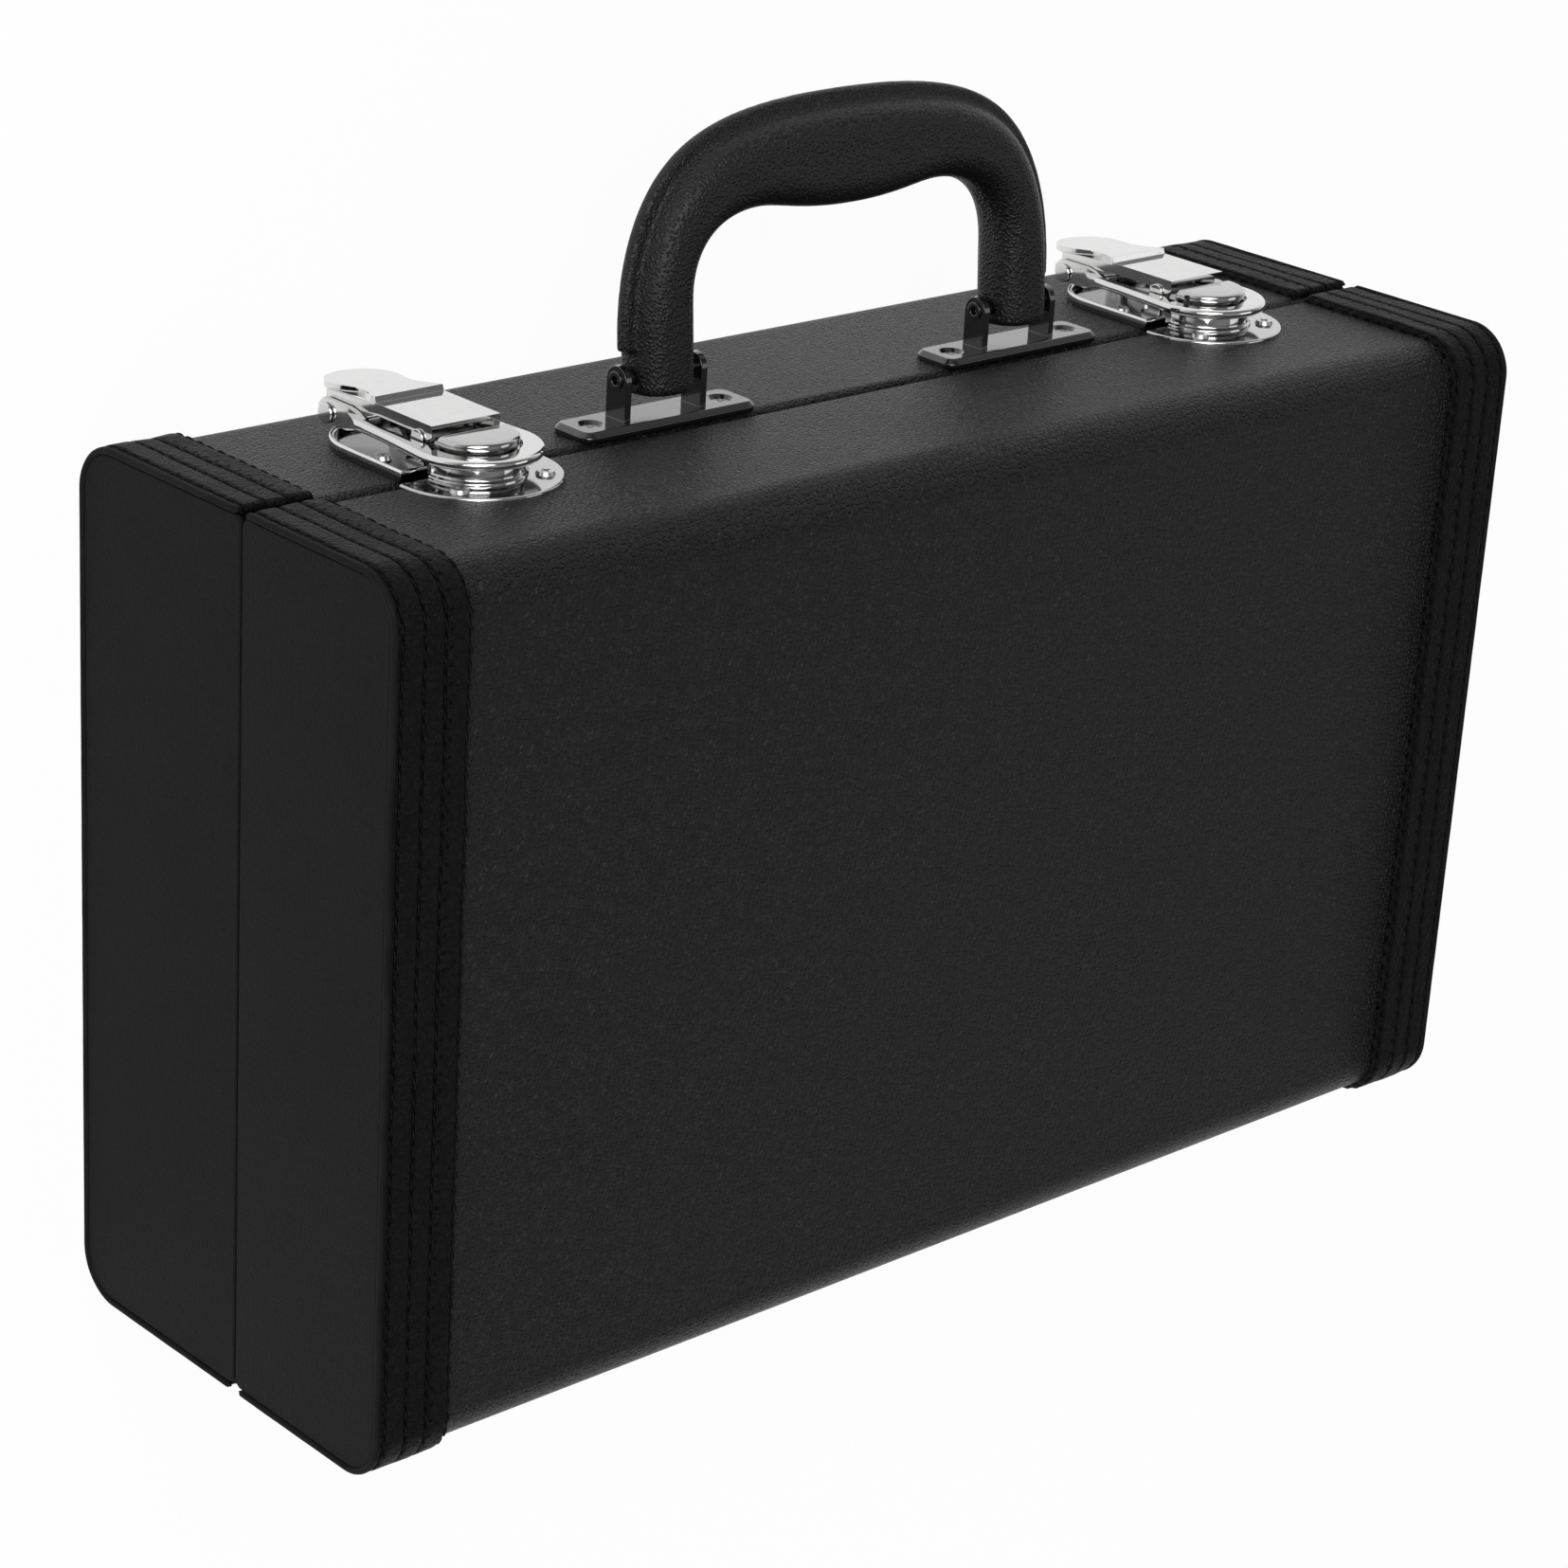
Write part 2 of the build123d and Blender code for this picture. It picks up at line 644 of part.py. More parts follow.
# ---- latches: sketches are drawn seen along the case, about the middle of one latch ----
def make_tray(name, x):
    face = front_face(x)
    mid_v = -(tray_front_gap + tray_length) / 2
    ear_out = pivot_ear_gap / 2 + pivot_ear_t
    with BuildSketch() as outline:
        with Locations((0, mid_v)):
            Rectangle(tray_width, tray_length - tray_front_gap)
        fillet(outline.vertices().group_by(Axis.Y)[0], tray_end_r)
    with BuildPart() as tray:
        with BuildSketch(face):
            add(outline.sketch)
        extrude(amount=tray_rim_h)
        with BuildSketch(face.offset(tray_t)):
            offset(outline.sketch, amount=-tray_rim_t)
            with Locations((0, -tray_front_gap - tray_rim_t)):
                Rectangle(lever_width + 2 * front_room, 2 * tray_rim_t)
        extrude(amount=tray_rim_h, mode=Mode.SUBTRACT)
        rim_top = tray.faces().filter_by(Axis.Y).sort_by(Axis.Y)[0]
        outer_edges = rim_top.edges()
        fillet(outer_edges, tray_rim_r)
        for s in (-1, 1):
            with BuildSketch(front_side(x + s * ear_out)):
                with Locations((-pivot_back, pivot_height)):
                    Circle(pivot_ear_r)
                with BuildLine():
                    Polyline((-pivot_back - pivot_ear_r, pivot_height),
                             (-pivot_back - ear_foot, tray_t / 2), (-pivot_back, tray_t / 2),
                             (-pivot_back, pivot_height), close=True)
                make_face()
            extrude(amount=-s * pivot_ear_t)
        with BuildSketch(front_side(x + ear_out)):
            with Locations((-pivot_back, pivot_height)):
                Circle(pivot_pin_r + hole_clearance)
        extrude(amount=-2 * ear_out, mode=Mode.SUBTRACT)
        places = [(s * tray_screw_x, -tray_screw_back) for s in (-1, 1)]
        with Locations(*on_plane(face.offset(tray_t), places)):
            Hole(screw_r + hole_clearance, tray_t)
    save(tray, name)


def make_lever(name, x):
    half = lever_width / 2
    crease_v = -lever_front - panel_length
    top = lever_top
    tab_top = top + crease_h
    with BuildPart() as lever:
        # panel, front lip, riser and sloping thumb tab seen from the side
        with BuildSketch(front_side(x - half)):
            with BuildLine():
                Polyline((-lever_front, top), (-lever_front, top - front_lip),
                         (-lever_front - lever_sheet, top - front_lip),
                         (-lever_front - lever_sheet, top - lever_sheet),
                         (crease_v, top - lever_sheet), (-tab_back, tab_end_h - tab_t),
                         (-tab_back, tab_end_h), (crease_v, tab_top),
                         (crease_v + lever_sheet / 2, top), close=True)
            make_face()
        extrude(amount=lever_width)
        # plan of the tab: shoulders, waist and a round end
        with BuildSketch(front_face(x)):
            with BuildLine():
                Polyline((0, 0), (half, 0), (half, crease_v))
                Spline((half, crease_v), (waist / 2, -waist_back), (tab_r, tab_r - tab_back),
                       tangents=((-0.3, -1), (0, -1)))
                JernArc((tab_r, tab_r - tab_back), (0, -1), tab_r, -90)
                mirror(about=Plane.YZ)
            make_face()
        extrude(amount=2 * lever_top, mode=Mode.INTERSECT)
        # cheeks down both sides, holding the pivot in front and the rivets behind
        for s in (-1, 1):
            with BuildSketch(front_side(x + s * half)):
                with BuildLine():
                    Polyline((-lever_front, top - lever_sheet / 2), (-lever_front, top - front_lip),
                             (-pivot_back + pivot_cheek_r, pivot_height),
                             (-pivot_back - pivot_cheek_r, pivot_height),
                             (-pivot_back - pivot_cheek_r, top - cheek_h),
                             (crease_v + cheek_step, top - cheek_h),
                             (-rivet_back + cheek_nose, rivet_height + cheek_r),
                             (-rivet_back, rivet_height), (-rivet_back - cheek_r, rivet_height),
                             (-rivet_back - cheek_r, tab_end_h - tab_t / 2),
                             (crease_v, top - lever_sheet / 2), close=True)
                make_face()
                with Locations((-pivot_back, pivot_height)):
                    Circle(pivot_cheek_r)
                with Locations((-rivet_back, rivet_height)):
                    Circle(cheek_r)
            extrude(amount=-s * lever_sheet)
        for back, height, r in ((pivot_back, pivot_height, pivot_pin_r + pin_clearance),
                                (rivet_back, rivet_height, rivet_r + hole_clearance)):
            with BuildSketch(front_side(x + half)):
                with Locations((-back, height)):
                    Circle(r)
            extrude(amount=-lever_width, mode=Mode.SUBTRACT)
    save(lever, name)


for side, x in zip(("left", "right"), latch_x):
    make_tray(f"latch_tray_{side}", x)
    make_lever(f"latch_lever_{side}", x)


def make_bail(name, x):
    arm_out = bail_arm_in + bail_arm_w
    ear_in = bail_arm_in - bail_sheet
    with BuildPart() as bail:
        with BuildSketch(front_face(x).offset(arm_low)):
            with BuildLine():
                CenterArc((0, keeper_centre), ring_out_r, 0, 90)
                Polyline((0, keeper_centre + ring_out_r), (0, keeper_centre + ring_in_r))
                CenterArc((0, keeper_centre), ring_in_r, 0, 90)
                Polyline((ring_in_r, keeper_centre), (bail_arm_in, -ring_taper),
                         (bail_arm_in, jog_inner - ear_front), (ear_in, -ear_front),
                         (bail_arm_in, -ear_front), (arm_out, -jog_back),
                         (arm_out, -ring_taper), (ring_out_r, keeper_centre))
            make_face()
            mirror(about=Plane.YZ)
        extrude(amount=bail_t)
        ring_edges = [e for e in bail.edges().filter_by(GeomType.CIRCLE)
                      if abs(e.radius - ring_out_r) < same_place]
        fillet(ring_edges, ring_edge_r)
        for s in (-1, 1):
            with BuildSketch(front_side(x + s * bail_arm_in)):
                with BuildLine():
                    Polyline((-ear_front, ear_bottom), (-jog_back, arm_low), (-jog_back, arm_low + bail_t),
                             (-ear_front, ear_top), (-ear_back + ear_round, ear_top),
                             (-ear_back, ear_top - ear_round), (-ear_back, ear_bottom + ear_round),
                             (-ear_back + ear_round, ear_bottom), close=True)
                make_face()
            extrude(amount=-s * bail_sheet)
        with BuildSketch(front_side(x + arm_out)):
            with Locations((-rivet_back, rivet_height)):
                Circle(rivet_r + pin_clearance)
        extrude(amount=-2 * arm_out, mode=Mode.SUBTRACT)
    save(bail, name)


def make_pivots(name, x, back, height, r, reach, head_r, head_t, inner_reach):
    # a pair of short rivets, or one long pin when inner_reach is zero
    with BuildPart() as pivots:
        for s in (-1, 1):
            with BuildSketch(front_side(x + s * inner_reach)):
                with Locations((-back, height)):
                    Circle(r)
            extrude(amount=s * (reach - inner_reach))
            with BuildSketch(front_side(x + s * reach)):
                with Locations((-back, height)):
                    Circle(head_r)
            extrude(amount=s * head_t)
    save(pivots, name)


def make_keeper(name, x):
    face = front_face(x)
    with BuildPart() as keeper:
        with BuildSketch(face):
            with Locations((0, keeper_centre)):
                Circle(keeper_plate_r)
            with Locations((0, keeper_plate_edge - keeper_plate_r)):
                Rectangle(2 * keeper_plate_r, 2 * keeper_plate_r, mode=Mode.SUBTRACT)
        extrude(amount=keeper_plate_t)
    with BuildPart() as boss:
        with BuildSketch(Plane.XZ) as boss_side:
            with BuildLine():
                Polyline((0, 0), (keeper_flange_r, 0), (keeper_flange_r, keeper_flange_h),
                         (keeper_base_r, keeper_flange_h), (keeper_base_r, keeper_base_h),
                         (keeper_neck_r, keeper_base_h), (keeper_neck_r, keeper_top_h - keeper_rim_h),
                         (keeper_top_r, keeper_top_h - keeper_rim_h), (keeper_top_r, keeper_top_h),
                         (0, keeper_top_h), close=True)
            make_face()
            rims = [v for v in boss_side.vertices()
                    if v.X > keeper_neck_r + same_place and v.Y > keeper_flange_h + same_place]
            fillet(rims, keeper_edge_r)
        revolve(axis=Axis.Z)
        with BuildSketch(Plane.XY):
            with Locations((0, keeper_flat - keeper_centre - keeper_flange_r)):
                Rectangle(2 * keeper_flange_r, 2 * keeper_flange_r)
        extrude(amount=keeper_top_h, mode=Mode.SUBTRACT)
    with BuildPart() as whole:
        add(keeper.part)
        with Locations(face.location * Location((0, keeper_centre, 0))):
            add(boss.part)
        places = [(s * keeper_screw_spacing / 2, keeper_screw_front) for s in (-1, 1)]
        with Locations(*on_plane(face.offset(keeper_plate_t), places)):
            Hole(screw_r + hole_clearance, keeper_plate_t)
    save(whole, name)


for side, x in zip(("left", "right"), latch_x):
    make_bail(f"latch_bail_{side}", x)
    cheek_in = lever_width / 2 - lever_sheet
    make_pivots(f"latch_pivot_pin_{side}", x, pivot_back, pivot_height, pivot_pin_r,
                lever_width / 2 + side_clearance, pivot_head_r, pivot_head_t, 0)
    make_pivots(f"latch_rivets_{side}", x, rivet_back, rivet_height, rivet_r,
                bail_arm_in + side_clearance, rivet_head_r, rivet_head_t, cheek_in)
    make_keeper(f"keeper_{side}", x)

screws("latch_screws", front_face(0), tray_screws, tray_t, tray_head_r, tray_head_t)
screws("keeper_screws", front_face(0), keeper_screws, keeper_plate_t, keeper_head_r, keeper_head_t)
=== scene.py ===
import math
import random

import bpy
from mathutils import Matrix, Vector, noise


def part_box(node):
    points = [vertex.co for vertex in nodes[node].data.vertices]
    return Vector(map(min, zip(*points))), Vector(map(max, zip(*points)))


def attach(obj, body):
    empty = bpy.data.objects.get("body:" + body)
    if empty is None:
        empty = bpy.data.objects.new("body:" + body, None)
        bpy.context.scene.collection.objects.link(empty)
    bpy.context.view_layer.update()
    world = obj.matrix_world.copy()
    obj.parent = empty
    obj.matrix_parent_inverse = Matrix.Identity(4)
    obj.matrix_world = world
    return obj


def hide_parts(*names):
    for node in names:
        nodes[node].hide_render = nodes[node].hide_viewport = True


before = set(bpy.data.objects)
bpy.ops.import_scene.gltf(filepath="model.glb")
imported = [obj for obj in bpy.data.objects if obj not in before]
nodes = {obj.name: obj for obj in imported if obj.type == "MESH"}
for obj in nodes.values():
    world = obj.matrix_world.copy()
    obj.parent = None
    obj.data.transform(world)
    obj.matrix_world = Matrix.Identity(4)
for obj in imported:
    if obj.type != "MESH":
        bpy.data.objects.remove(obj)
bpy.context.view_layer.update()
print("frame loaded:", len(nodes), "nodes")

mm = 0.001
sides = {"left": 1, "right": -1}


class Wire:
    # a node socket that can be added, multiplied and so on in plain expressions
    def __init__(self, tree, socket=None):
        self.tree = tree
        self.socket = socket

    def node(self, kind, settings=None, inputs=None, out=0):
        made = self.tree.nodes.new(kind)
        for key, value in (settings or {}).items():
            if key == "stops":
                for i, (place, shade) in enumerate(value):
                    ramp = made.color_ramp.elements
                    stop = ramp[i] if i < 2 else ramp.new(place)
                    stop.position, stop.color = place, grey(shade)
            else:
                setattr(made, key, value)
        for key, value in (inputs or {}).items():
            self.feed(made.inputs[key], value)
        return Wire(self.tree, made.outputs[out])

    def feed(self, target, value):
        if isinstance(value, Wire):
            self.tree.links.new(value.socket, target)
        else:
            target.default_value = value

    def maths(self, operation, *values):
        return self.node("ShaderNodeMath", {"operation": operation}, dict(enumerate(values)))

    def __add__(self, other):
        return self.maths("ADD", self, other)

    def __radd__(self, other):
        return self.maths("ADD", other, self)

    def __sub__(self, other):
        return self.maths("SUBTRACT", self, other)

    def __rsub__(self, other):
        return self.maths("SUBTRACT", other, self)

    def __mul__(self, other):
        return self.maths("MULTIPLY", self, other)

    def __rmul__(self, other):
        return self.maths("MULTIPLY", other, self)

    def step(self, low, high, toLow=0.0, toHigh=1.0):
        # smooth step from toLow below low to toHigh above high
        return self.node("ShaderNodeMapRange", {"interpolation_type": "SMOOTHSTEP"},
                         {0: self, 1: low, 2: high, 3: toLow, 4: toHigh})

    def blend(self, first, second):
        # colour blend with this wire as its factor
        return self.node("ShaderNodeMix", {"data_type": "RGBA"}, {0: self, 6: first, 7: second}, 2)

    def split(self):
        # the three parts of a vector
        made = self.node("ShaderNodeSeparateXYZ", {}, {0: self})
        return [Wire(self.tree, out) for out in made.socket.node.outputs]


def newMaterial(name, **constants):
    made = bpy.data.materials.new(name)
    made.use_nodes = True
    shader = made.node_tree.nodes["Principled BSDF"]
    for key, value in constants.items():
        shader.inputs[key.replace("_", " ")].default_value = value
    return made, Wire(made.node_tree), shader


def surface(wire, shader, colour, rough, relief, depth, height):
    # the links that every finish has: relief is the bump's strength, depth its height in metres
    wire.feed(shader.inputs["Base Color"], colour)
    wire.feed(shader.inputs["Roughness"], rough)
    bump = wire.node("ShaderNodeBump", {},
                     {"Strength": relief, "Distance": depth, "Height": height})
    wire.feed(shader.inputs["Normal"], bump)


def grey(value, tint=(1, 1, 1)):
    return (value * tint[0], value * tint[1], value * tint[2], 1)


def objectPlace(wire):
    return wire.node("ShaderNodeTexCoord", out=3)


def cells(wire, where, size, jitter=1.0, feature="F1"):
    return wire.node("ShaderNodeTexVoronoi", {"feature": feature},
                     {"Vector": where, "Scale": 1 / size, "Randomness": jitter})


def clouds(wire, where, size, detail=3.0, rough=0.55, distort=0.0):
    return wire.node("ShaderNodeTexNoise", {},
                     {"Vector": where, "Scale": 1 / size, "Detail": detail, "Roughness": rough,
                      "Distortion": distort})


def bend(wire, where, size, detail, far):
    # the place moved about by clouds, so that cells don't look ruled
    return wire.node("ShaderNodeVectorMath", {"operation": "MULTIPLY_ADD"},
                     {0: clouds(wire, where, size, detail), 1: (far,) * 3, 2: where})


seamRows = (2.4 * mm, 8.0 * mm, 13.4 * mm, 19.3 * mm)  # stitched rows, from the end of the case

leatherLook = {
    "shade": 0.005, "dark": 0.72, "light": 1.3, "rough": 0.37, "specular": 0.25,
    "pebble": 1.3 * mm, "valley": 0.22, "fine": 0.5 * mm, "soft": 28 * mm,
    "depth": 0.62 * mm, "relief": 1.0,
}
endLook = dict(leatherLook, shade=0.0075, rough=0.6, specular=0.08, depth=0.16 * mm, relief=0.4)


def makeLeather(name, look):
    # embossed leatherette: rounded pebbles with narrow valleys between them
    made, wire, shader = newMaterial(name, IOR=1.5, Specular_IOR_Level=look["specular"])
    where = objectPlace(wire)
    bent = bend(wire, where, look["pebble"] * 3, 2.0, look["pebble"])
    pebble = cells(wire, bent, look["pebble"], 0.85, "DISTANCE_TO_EDGE").step(0.0, look["valley"])
    fine = clouds(wire, where, look["fine"], 3.0, 0.6)
    soft = clouds(wire, where, look["soft"], 2.0, 0.5)
    shade = (soft * 0.5 + fine * 0.35 + pebble * 0.25).step(0.25, 0.85)
    tone = shade.blend(grey(look["shade"] * look["dark"]), grey(look["shade"] * look["light"]))
    surface(wire, shader, tone, (look["rough"] - 0.07) + fine * 0.1 + soft * 0.08,
            look["relief"], look["depth"], pebble * 0.7 + fine * 0.45)
    return made


bandLook = {
    "shade": 0.0042, "dark": 0.65, "light": 1.4, "paintedSeamShade": 0.0012, "rough": 0.46,
    "specular": 0.08, "wrinkle": 2.1 * mm, "fine": 0.6 * mm, "soft": 9 * mm,
    "bendSize": 5 * mm, "bendFar": 3.2 * mm, "depth": 0.42 * mm, "relief": 0.8,
    "holeRow": 14.7 * mm, "halfBeat": 1.95 * mm, "holeFrom": 0.35 * mm, "holeTo": 0.6 * mm,
    "seamFrom": 0.14 * mm, "seamTo": 0.46 * mm,
}


def makeBandLeather():
    # softer, wrinkled leatherette with a row of needle holes beside the inner stitching, and
    # painted shade in the holes and along the stitched rows
    look = bandLook
    made, wire, shader = newMaterial("bandLeatherette", IOR=1.5,
                                     Specular_IOR_Level=look["specular"])
    where = objectPlace(wire)
    bent = bend(wire, where, look["bendSize"], 3.0, look["bendFar"])
    wrinkle = cells(wire, bent, look["wrinkle"], 1.0, "DISTANCE_TO_EDGE").step(0.0, 0.3)
    small = cells(wire, bent, look["fine"], 1.0, "DISTANCE_TO_EDGE").step(0.0, 0.35)
    soft = clouds(wire, where, look["soft"], 3.0, 0.6)
    along, across, _ = wire.node("ShaderNodeUVMap", {"uv_map": "run"}).split()
    beat = wire.maths("PINGPONG", along, look["halfBeat"])
    offRow = across - look["holeRow"]
    far = wire.maths("SQRT", beat * beat + offRow * offRow)
    holeAndSeamShade = far.step(look["holeFrom"], look["holeTo"], 1.0, 0.0)
    for place in seamRows:
        line = wire.maths("ABSOLUTE", across - place)
        holeAndSeamShade = wire.maths("MAXIMUM", holeAndSeamShade, line.step(look["seamFrom"], look["seamTo"], 1.0, 0.0))
    shade = (soft * 0.6 + wrinkle * 0.35).step(0.2, 0.8)
    tone = shade.blend(grey(look["shade"] * look["dark"]), grey(look["shade"] * look["light"]))
    # painted shade: holes and stitched grooves are coloured near black for the shade in them; the
    # same mask also sinks them in the bump
    surface(wire, shader, holeAndSeamShade.blend(tone, grey(look["paintedSeamShade"])),
            (look["rough"] - 0.08) + soft * 0.2 + holeAndSeamShade * 0.3,
            look["relief"], look["depth"], wrinkle * 0.6 + small * 0.3 + soft * 0.5 - holeAndSeamShade * 1.2)
    return made


pipingLook = {"dark": 0.004, "light": 0.008, "rough": 0.55, "specular": 0.1,
              "fine": 1.1 * mm, "soft": 12 * mm, "depth": 0.12 * mm}


def makePiping():
    look = pipingLook
    made, wire, shader = newMaterial("pipingLeatherette", IOR=1.5,
                                     Specular_IOR_Level=look["specular"])
    where = objectPlace(wire)
    fine = clouds(wire, where, look["fine"], 4.0, 0.6)
    soft = clouds(wire, where, look["soft"], 2.0)
    surface(wire, shader, soft.step(0.3, 0.7).blend(grey(look["dark"]), grey(look["light"])),
            look["rough"] + fine * 0.16, 0.5, look["depth"], fine)
    return made


threadLook = {"dark": 0.002, "light": 0.007, "rough": 0.55, "specular": 0.1,
              "twist": 2.4 * mm, "depth": 0.08 * mm}


def makeThread():
    look = threadLook
    made, wire, shader = newMaterial("stitchThread", IOR=1.5, Specular_IOR_Level=look["specular"])
    twist = wire.node("ShaderNodeTexWave", {"bands_direction": "DIAGONAL"},
                      {"Vector": objectPlace(wire), "Scale": 1 / look["twist"],
                       "Distortion": 1.5, "Detail": 1.0}, 1)
    surface(wire, shader, twist.blend(grey(look["dark"]), grey(look["light"])),
            look["rough"] + twist * 0.15, 0.6, look["depth"], twist)
    return made


chromeLook = {"wave": 7 * mm, "haze": 3.0 * mm, "scratch": 0.25 * mm, "depth": 0.25 * mm,
              "stretch": (0.12, 1.0, 1.0), "turn": (0.2, 0.4, 0.6), "dull": 0.94,
              "tint": (1, 0.995, 0.985)}


def makeChrome(name, tone, rough, ripple, deepShade=None):
    # bright plate: faint stamping ripple, hairline scratches and a little haze
    look = chromeLook
    made, wire, shader = newMaterial(name, Metallic=1.0)
    where = objectPlace(wire)
    wave = clouds(wire, where, look["wave"], 2.0, 0.45)
    haze = clouds(wire, where, look["haze"], 4.0, 0.65)
    drawn = wire.node("ShaderNodeMapping", {"vector_type": "POINT"},
                      {"Vector": where, "Scale": look["stretch"], "Rotation": look["turn"]})
    scratch = clouds(wire, drawn, look["scratch"], 2.0, 0.7).step(0.62, 0.74)
    colour = haze.step(0.3, 0.75).blend(grey(tone * look["dull"]), grey(tone, look["tint"]))
    if deepShade:
        # painted shade: the plate is coloured darker where it lies deep, near the skin, standing
        # in for the shade and dark reflection down there
        height = deepShade["level"] - where.split()[1]
        colour = height.step(deepShade["from"], deepShade["to"]).blend(grey(deepShade["tone"]), colour)
    surface(wire, shader, colour, rough + haze * 0.05 + scratch * 0.07,
            ripple, look["depth"], wave)
    return made


blackSteelLook = {"shade": 0.0045, "dustShade": 0.03, "rough": 0.16, "coat": 0.8,
                  "coatRough": 0.04, "peel": 1.6 * mm, "dust": 0.5 * mm, "depth": 0.12 * mm}


def makeBlackSteel():
    # stoved gloss black: slight orange peel and dust in the finish
    look = blackSteelLook
    made, wire, shader = newMaterial("glossBlackSteel", IOR=1.52,
                                     Coat_Roughness=look["coatRough"])
    where = objectPlace(wire)
    peel = clouds(wire, where, look["peel"], 2.0, 0.5)
    dust = clouds(wire, where, look["dust"], 4.0, 0.7).step(0.68, 0.78)
    surface(wire, shader, dust.blend(grey(look["shade"]), grey(look["dustShade"])),
            look["rough"] + dust * 0.3 + peel * 0.06, 0.12, look["depth"], peel)
    wire.feed(shader.inputs["Coat Weight"], look["coat"] - dust * 0.5)
    return made


handleLook = {"shade": 0.0058, "dark": 0.8, "light": 1.25, "rough": 0.36, "specular": 0.36,
              "bead": 0.66 * mm, "fine": 0.35 * mm, "soft": 20 * mm,
              "depth": 0.45 * mm, "relief": 0.65}


def makeHandlePlastic():
    # moulded plastic with a grain of small raised beads
    look = handleLook
    made, wire, shader = newMaterial("handlePlastic", IOR=1.5,
                                     Specular_IOR_Level=look["specular"])
    where = objectPlace(wire)
    bead = cells(wire, where, look["bead"], 0.95, "SMOOTH_F1").step(0.05, 0.55, 1.0, 0.0)
    fine = clouds(wire, where, look["fine"], 3.0, 0.6)
    soft = clouds(wire, where, look["soft"], 2.0)
    dark, light = grey(look["shade"] * look["dark"]), grey(look["shade"] * look["light"])
    surface(wire, shader, (soft * 0.6 + bead * 0.4).blend(dark, light),
            look["rough"] + fine * 0.12 + soft * 0.06,
            look["relief"], look["depth"], bead * 0.8 + fine * 0.15)
    return made


screwLook = {"dark": 0.42, "light": 0.68, "rough": 0.2, "haze": 1.2 * mm, "depth": 0.1 * mm}


def makeScrewSteel():
    look = screwLook
    made, wire, shader = newMaterial("screwSteel", Metallic=1.0)
    haze = clouds(wire, objectPlace(wire), look["haze"], 4.0, 0.7)
    surface(wire, shader, haze.blend(grey(look["dark"]), grey(look["light"])),
            look["rough"] + haze * 0.2, 0.2, look["depth"], haze)
    return made


plushLook = {"root": 0.006, "dark": 0.014, "light": 0.03, "tint": (1, 1, 1.08), "rough": 0.85,
             "sheen": 0.55, "sheenRough": 0.35, "sheenTint": (0.7, 0.7, 0.75, 1),
             "pile": 0.7 * mm, "clump": 2.2 * mm, "nap": 26 * mm, "depth": 0.7 * mm,
             "relief": 0.9}


def makePlush():
    # short-pile plush: clumped pile, with patches brushed lighter and darker
    look = plushLook
    made, wire, shader = newMaterial(
        "plush", Sheen_Weight=look["sheen"], Sheen_Roughness=look["sheenRough"],
        Sheen_Tint=look["sheenTint"], Specular_IOR_Level=0.1)
    where = objectPlace(wire)
    pile = clouds(wire, where, look["pile"], 4.0, 0.75)
    clump = cells(wire, where, look["clump"])
    nap = clouds(wire, where, look["nap"], 3.0, 0.6, 0.6).step(0.35, 0.65)
    tone = nap.blend(grey(look["dark"], look["tint"]), grey(look["light"], look["tint"]))
    surface(wire, shader, pile.step(0.35, 0.65).blend(grey(look["root"]), tone),
            look["rough"] + pile * 0.15,
            look["relief"], look["depth"], pile * 0.8 + clump * 0.3 + nap * 0.4)
    return made


plywoodLook = {"dark": (0.008, 0.007, 0.006, 1), "light": (0.016, 0.013, 0.011, 1),
               "rough": 0.6, "bands": 60.0, "depth": 0.2 * mm}


def makePlywood():
    # stained dark, so that the boards' bare edges don't show pale at the rim
    look = plywoodLook
    made, wire, shader = newMaterial("plywood", IOR=1.45, Specular_IOR_Level=0.2)
    grain = wire.node("ShaderNodeTexWave", {"bands_direction": "Y"},
                      {"Vector": objectPlace(wire), "Scale": look["bands"],
                       "Distortion": 6.0, "Detail": 3.0}, 1)
    surface(wire, shader, grain.blend(look["dark"], look["light"]),
            look["rough"] + grain * 0.15, 0.3, look["depth"], grain)
    return made


leather = makeLeather("blackLeatherette", leatherLook)
endLeather = makeLeather("endLeatherette", endLook)
bandLeather = makeBandLeather()
piping = makePiping()
thread = makeThread()
chrome = makeChrome("brightPlate", 0.7, 0.05, 0.025)
# painted shade: the keeper is a darker copy of the bright plate, standing in for the darker
# reflections it shows
keeperPlate = makeChrome("keeperPlate", 0.5, 0.07, 0.035)
# painted shade: the tray's floor, deep near the skin, is coloured darker than its rim
trayPlate = makeChrome("trayPlate", 0.74, 0.08, 0.04,
                       {"level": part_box("latch_tray_left")[1].y, "from": 0.9 * mm,
                        "to": 1.7 * mm, "tone": 0.17})
hingePlate = makeChrome("hingePlate", 0.7, 0.14, 0.06)
blackSteel = makeBlackSteel()
handlePlastic = makeHandlePlastic()
screwSteel = makeScrewSteel()
plush = makePlush()
plywood = makePlywood()
print("materials made")


def dress(piece, made):
    piece.data.materials.clear()
    piece.data.materials.append(made)


# what a node's name holds, and its finish; all other nodes are bright plate
finishes = {
    "_shell": plywood, "_end_skin_": endLeather, "_end_board_": endLeather, "_cover": leather,
    "_band_": bandLeather, "_piping_": piping, "insert_": plush, "lid_pad": plush,
    "_strips": plush, "handle_bracket": blackSteel, "handle_pin": blackSteel,
    "handle_grip": handlePlastic, "hinge_leaf": hingePlate, "hinge_pin": hingePlate,
    "screws": screwSteel,
}
for name, piece in nodes.items():
    dress(piece, next((made for part, made in finishes.items() if part in name), chrome))


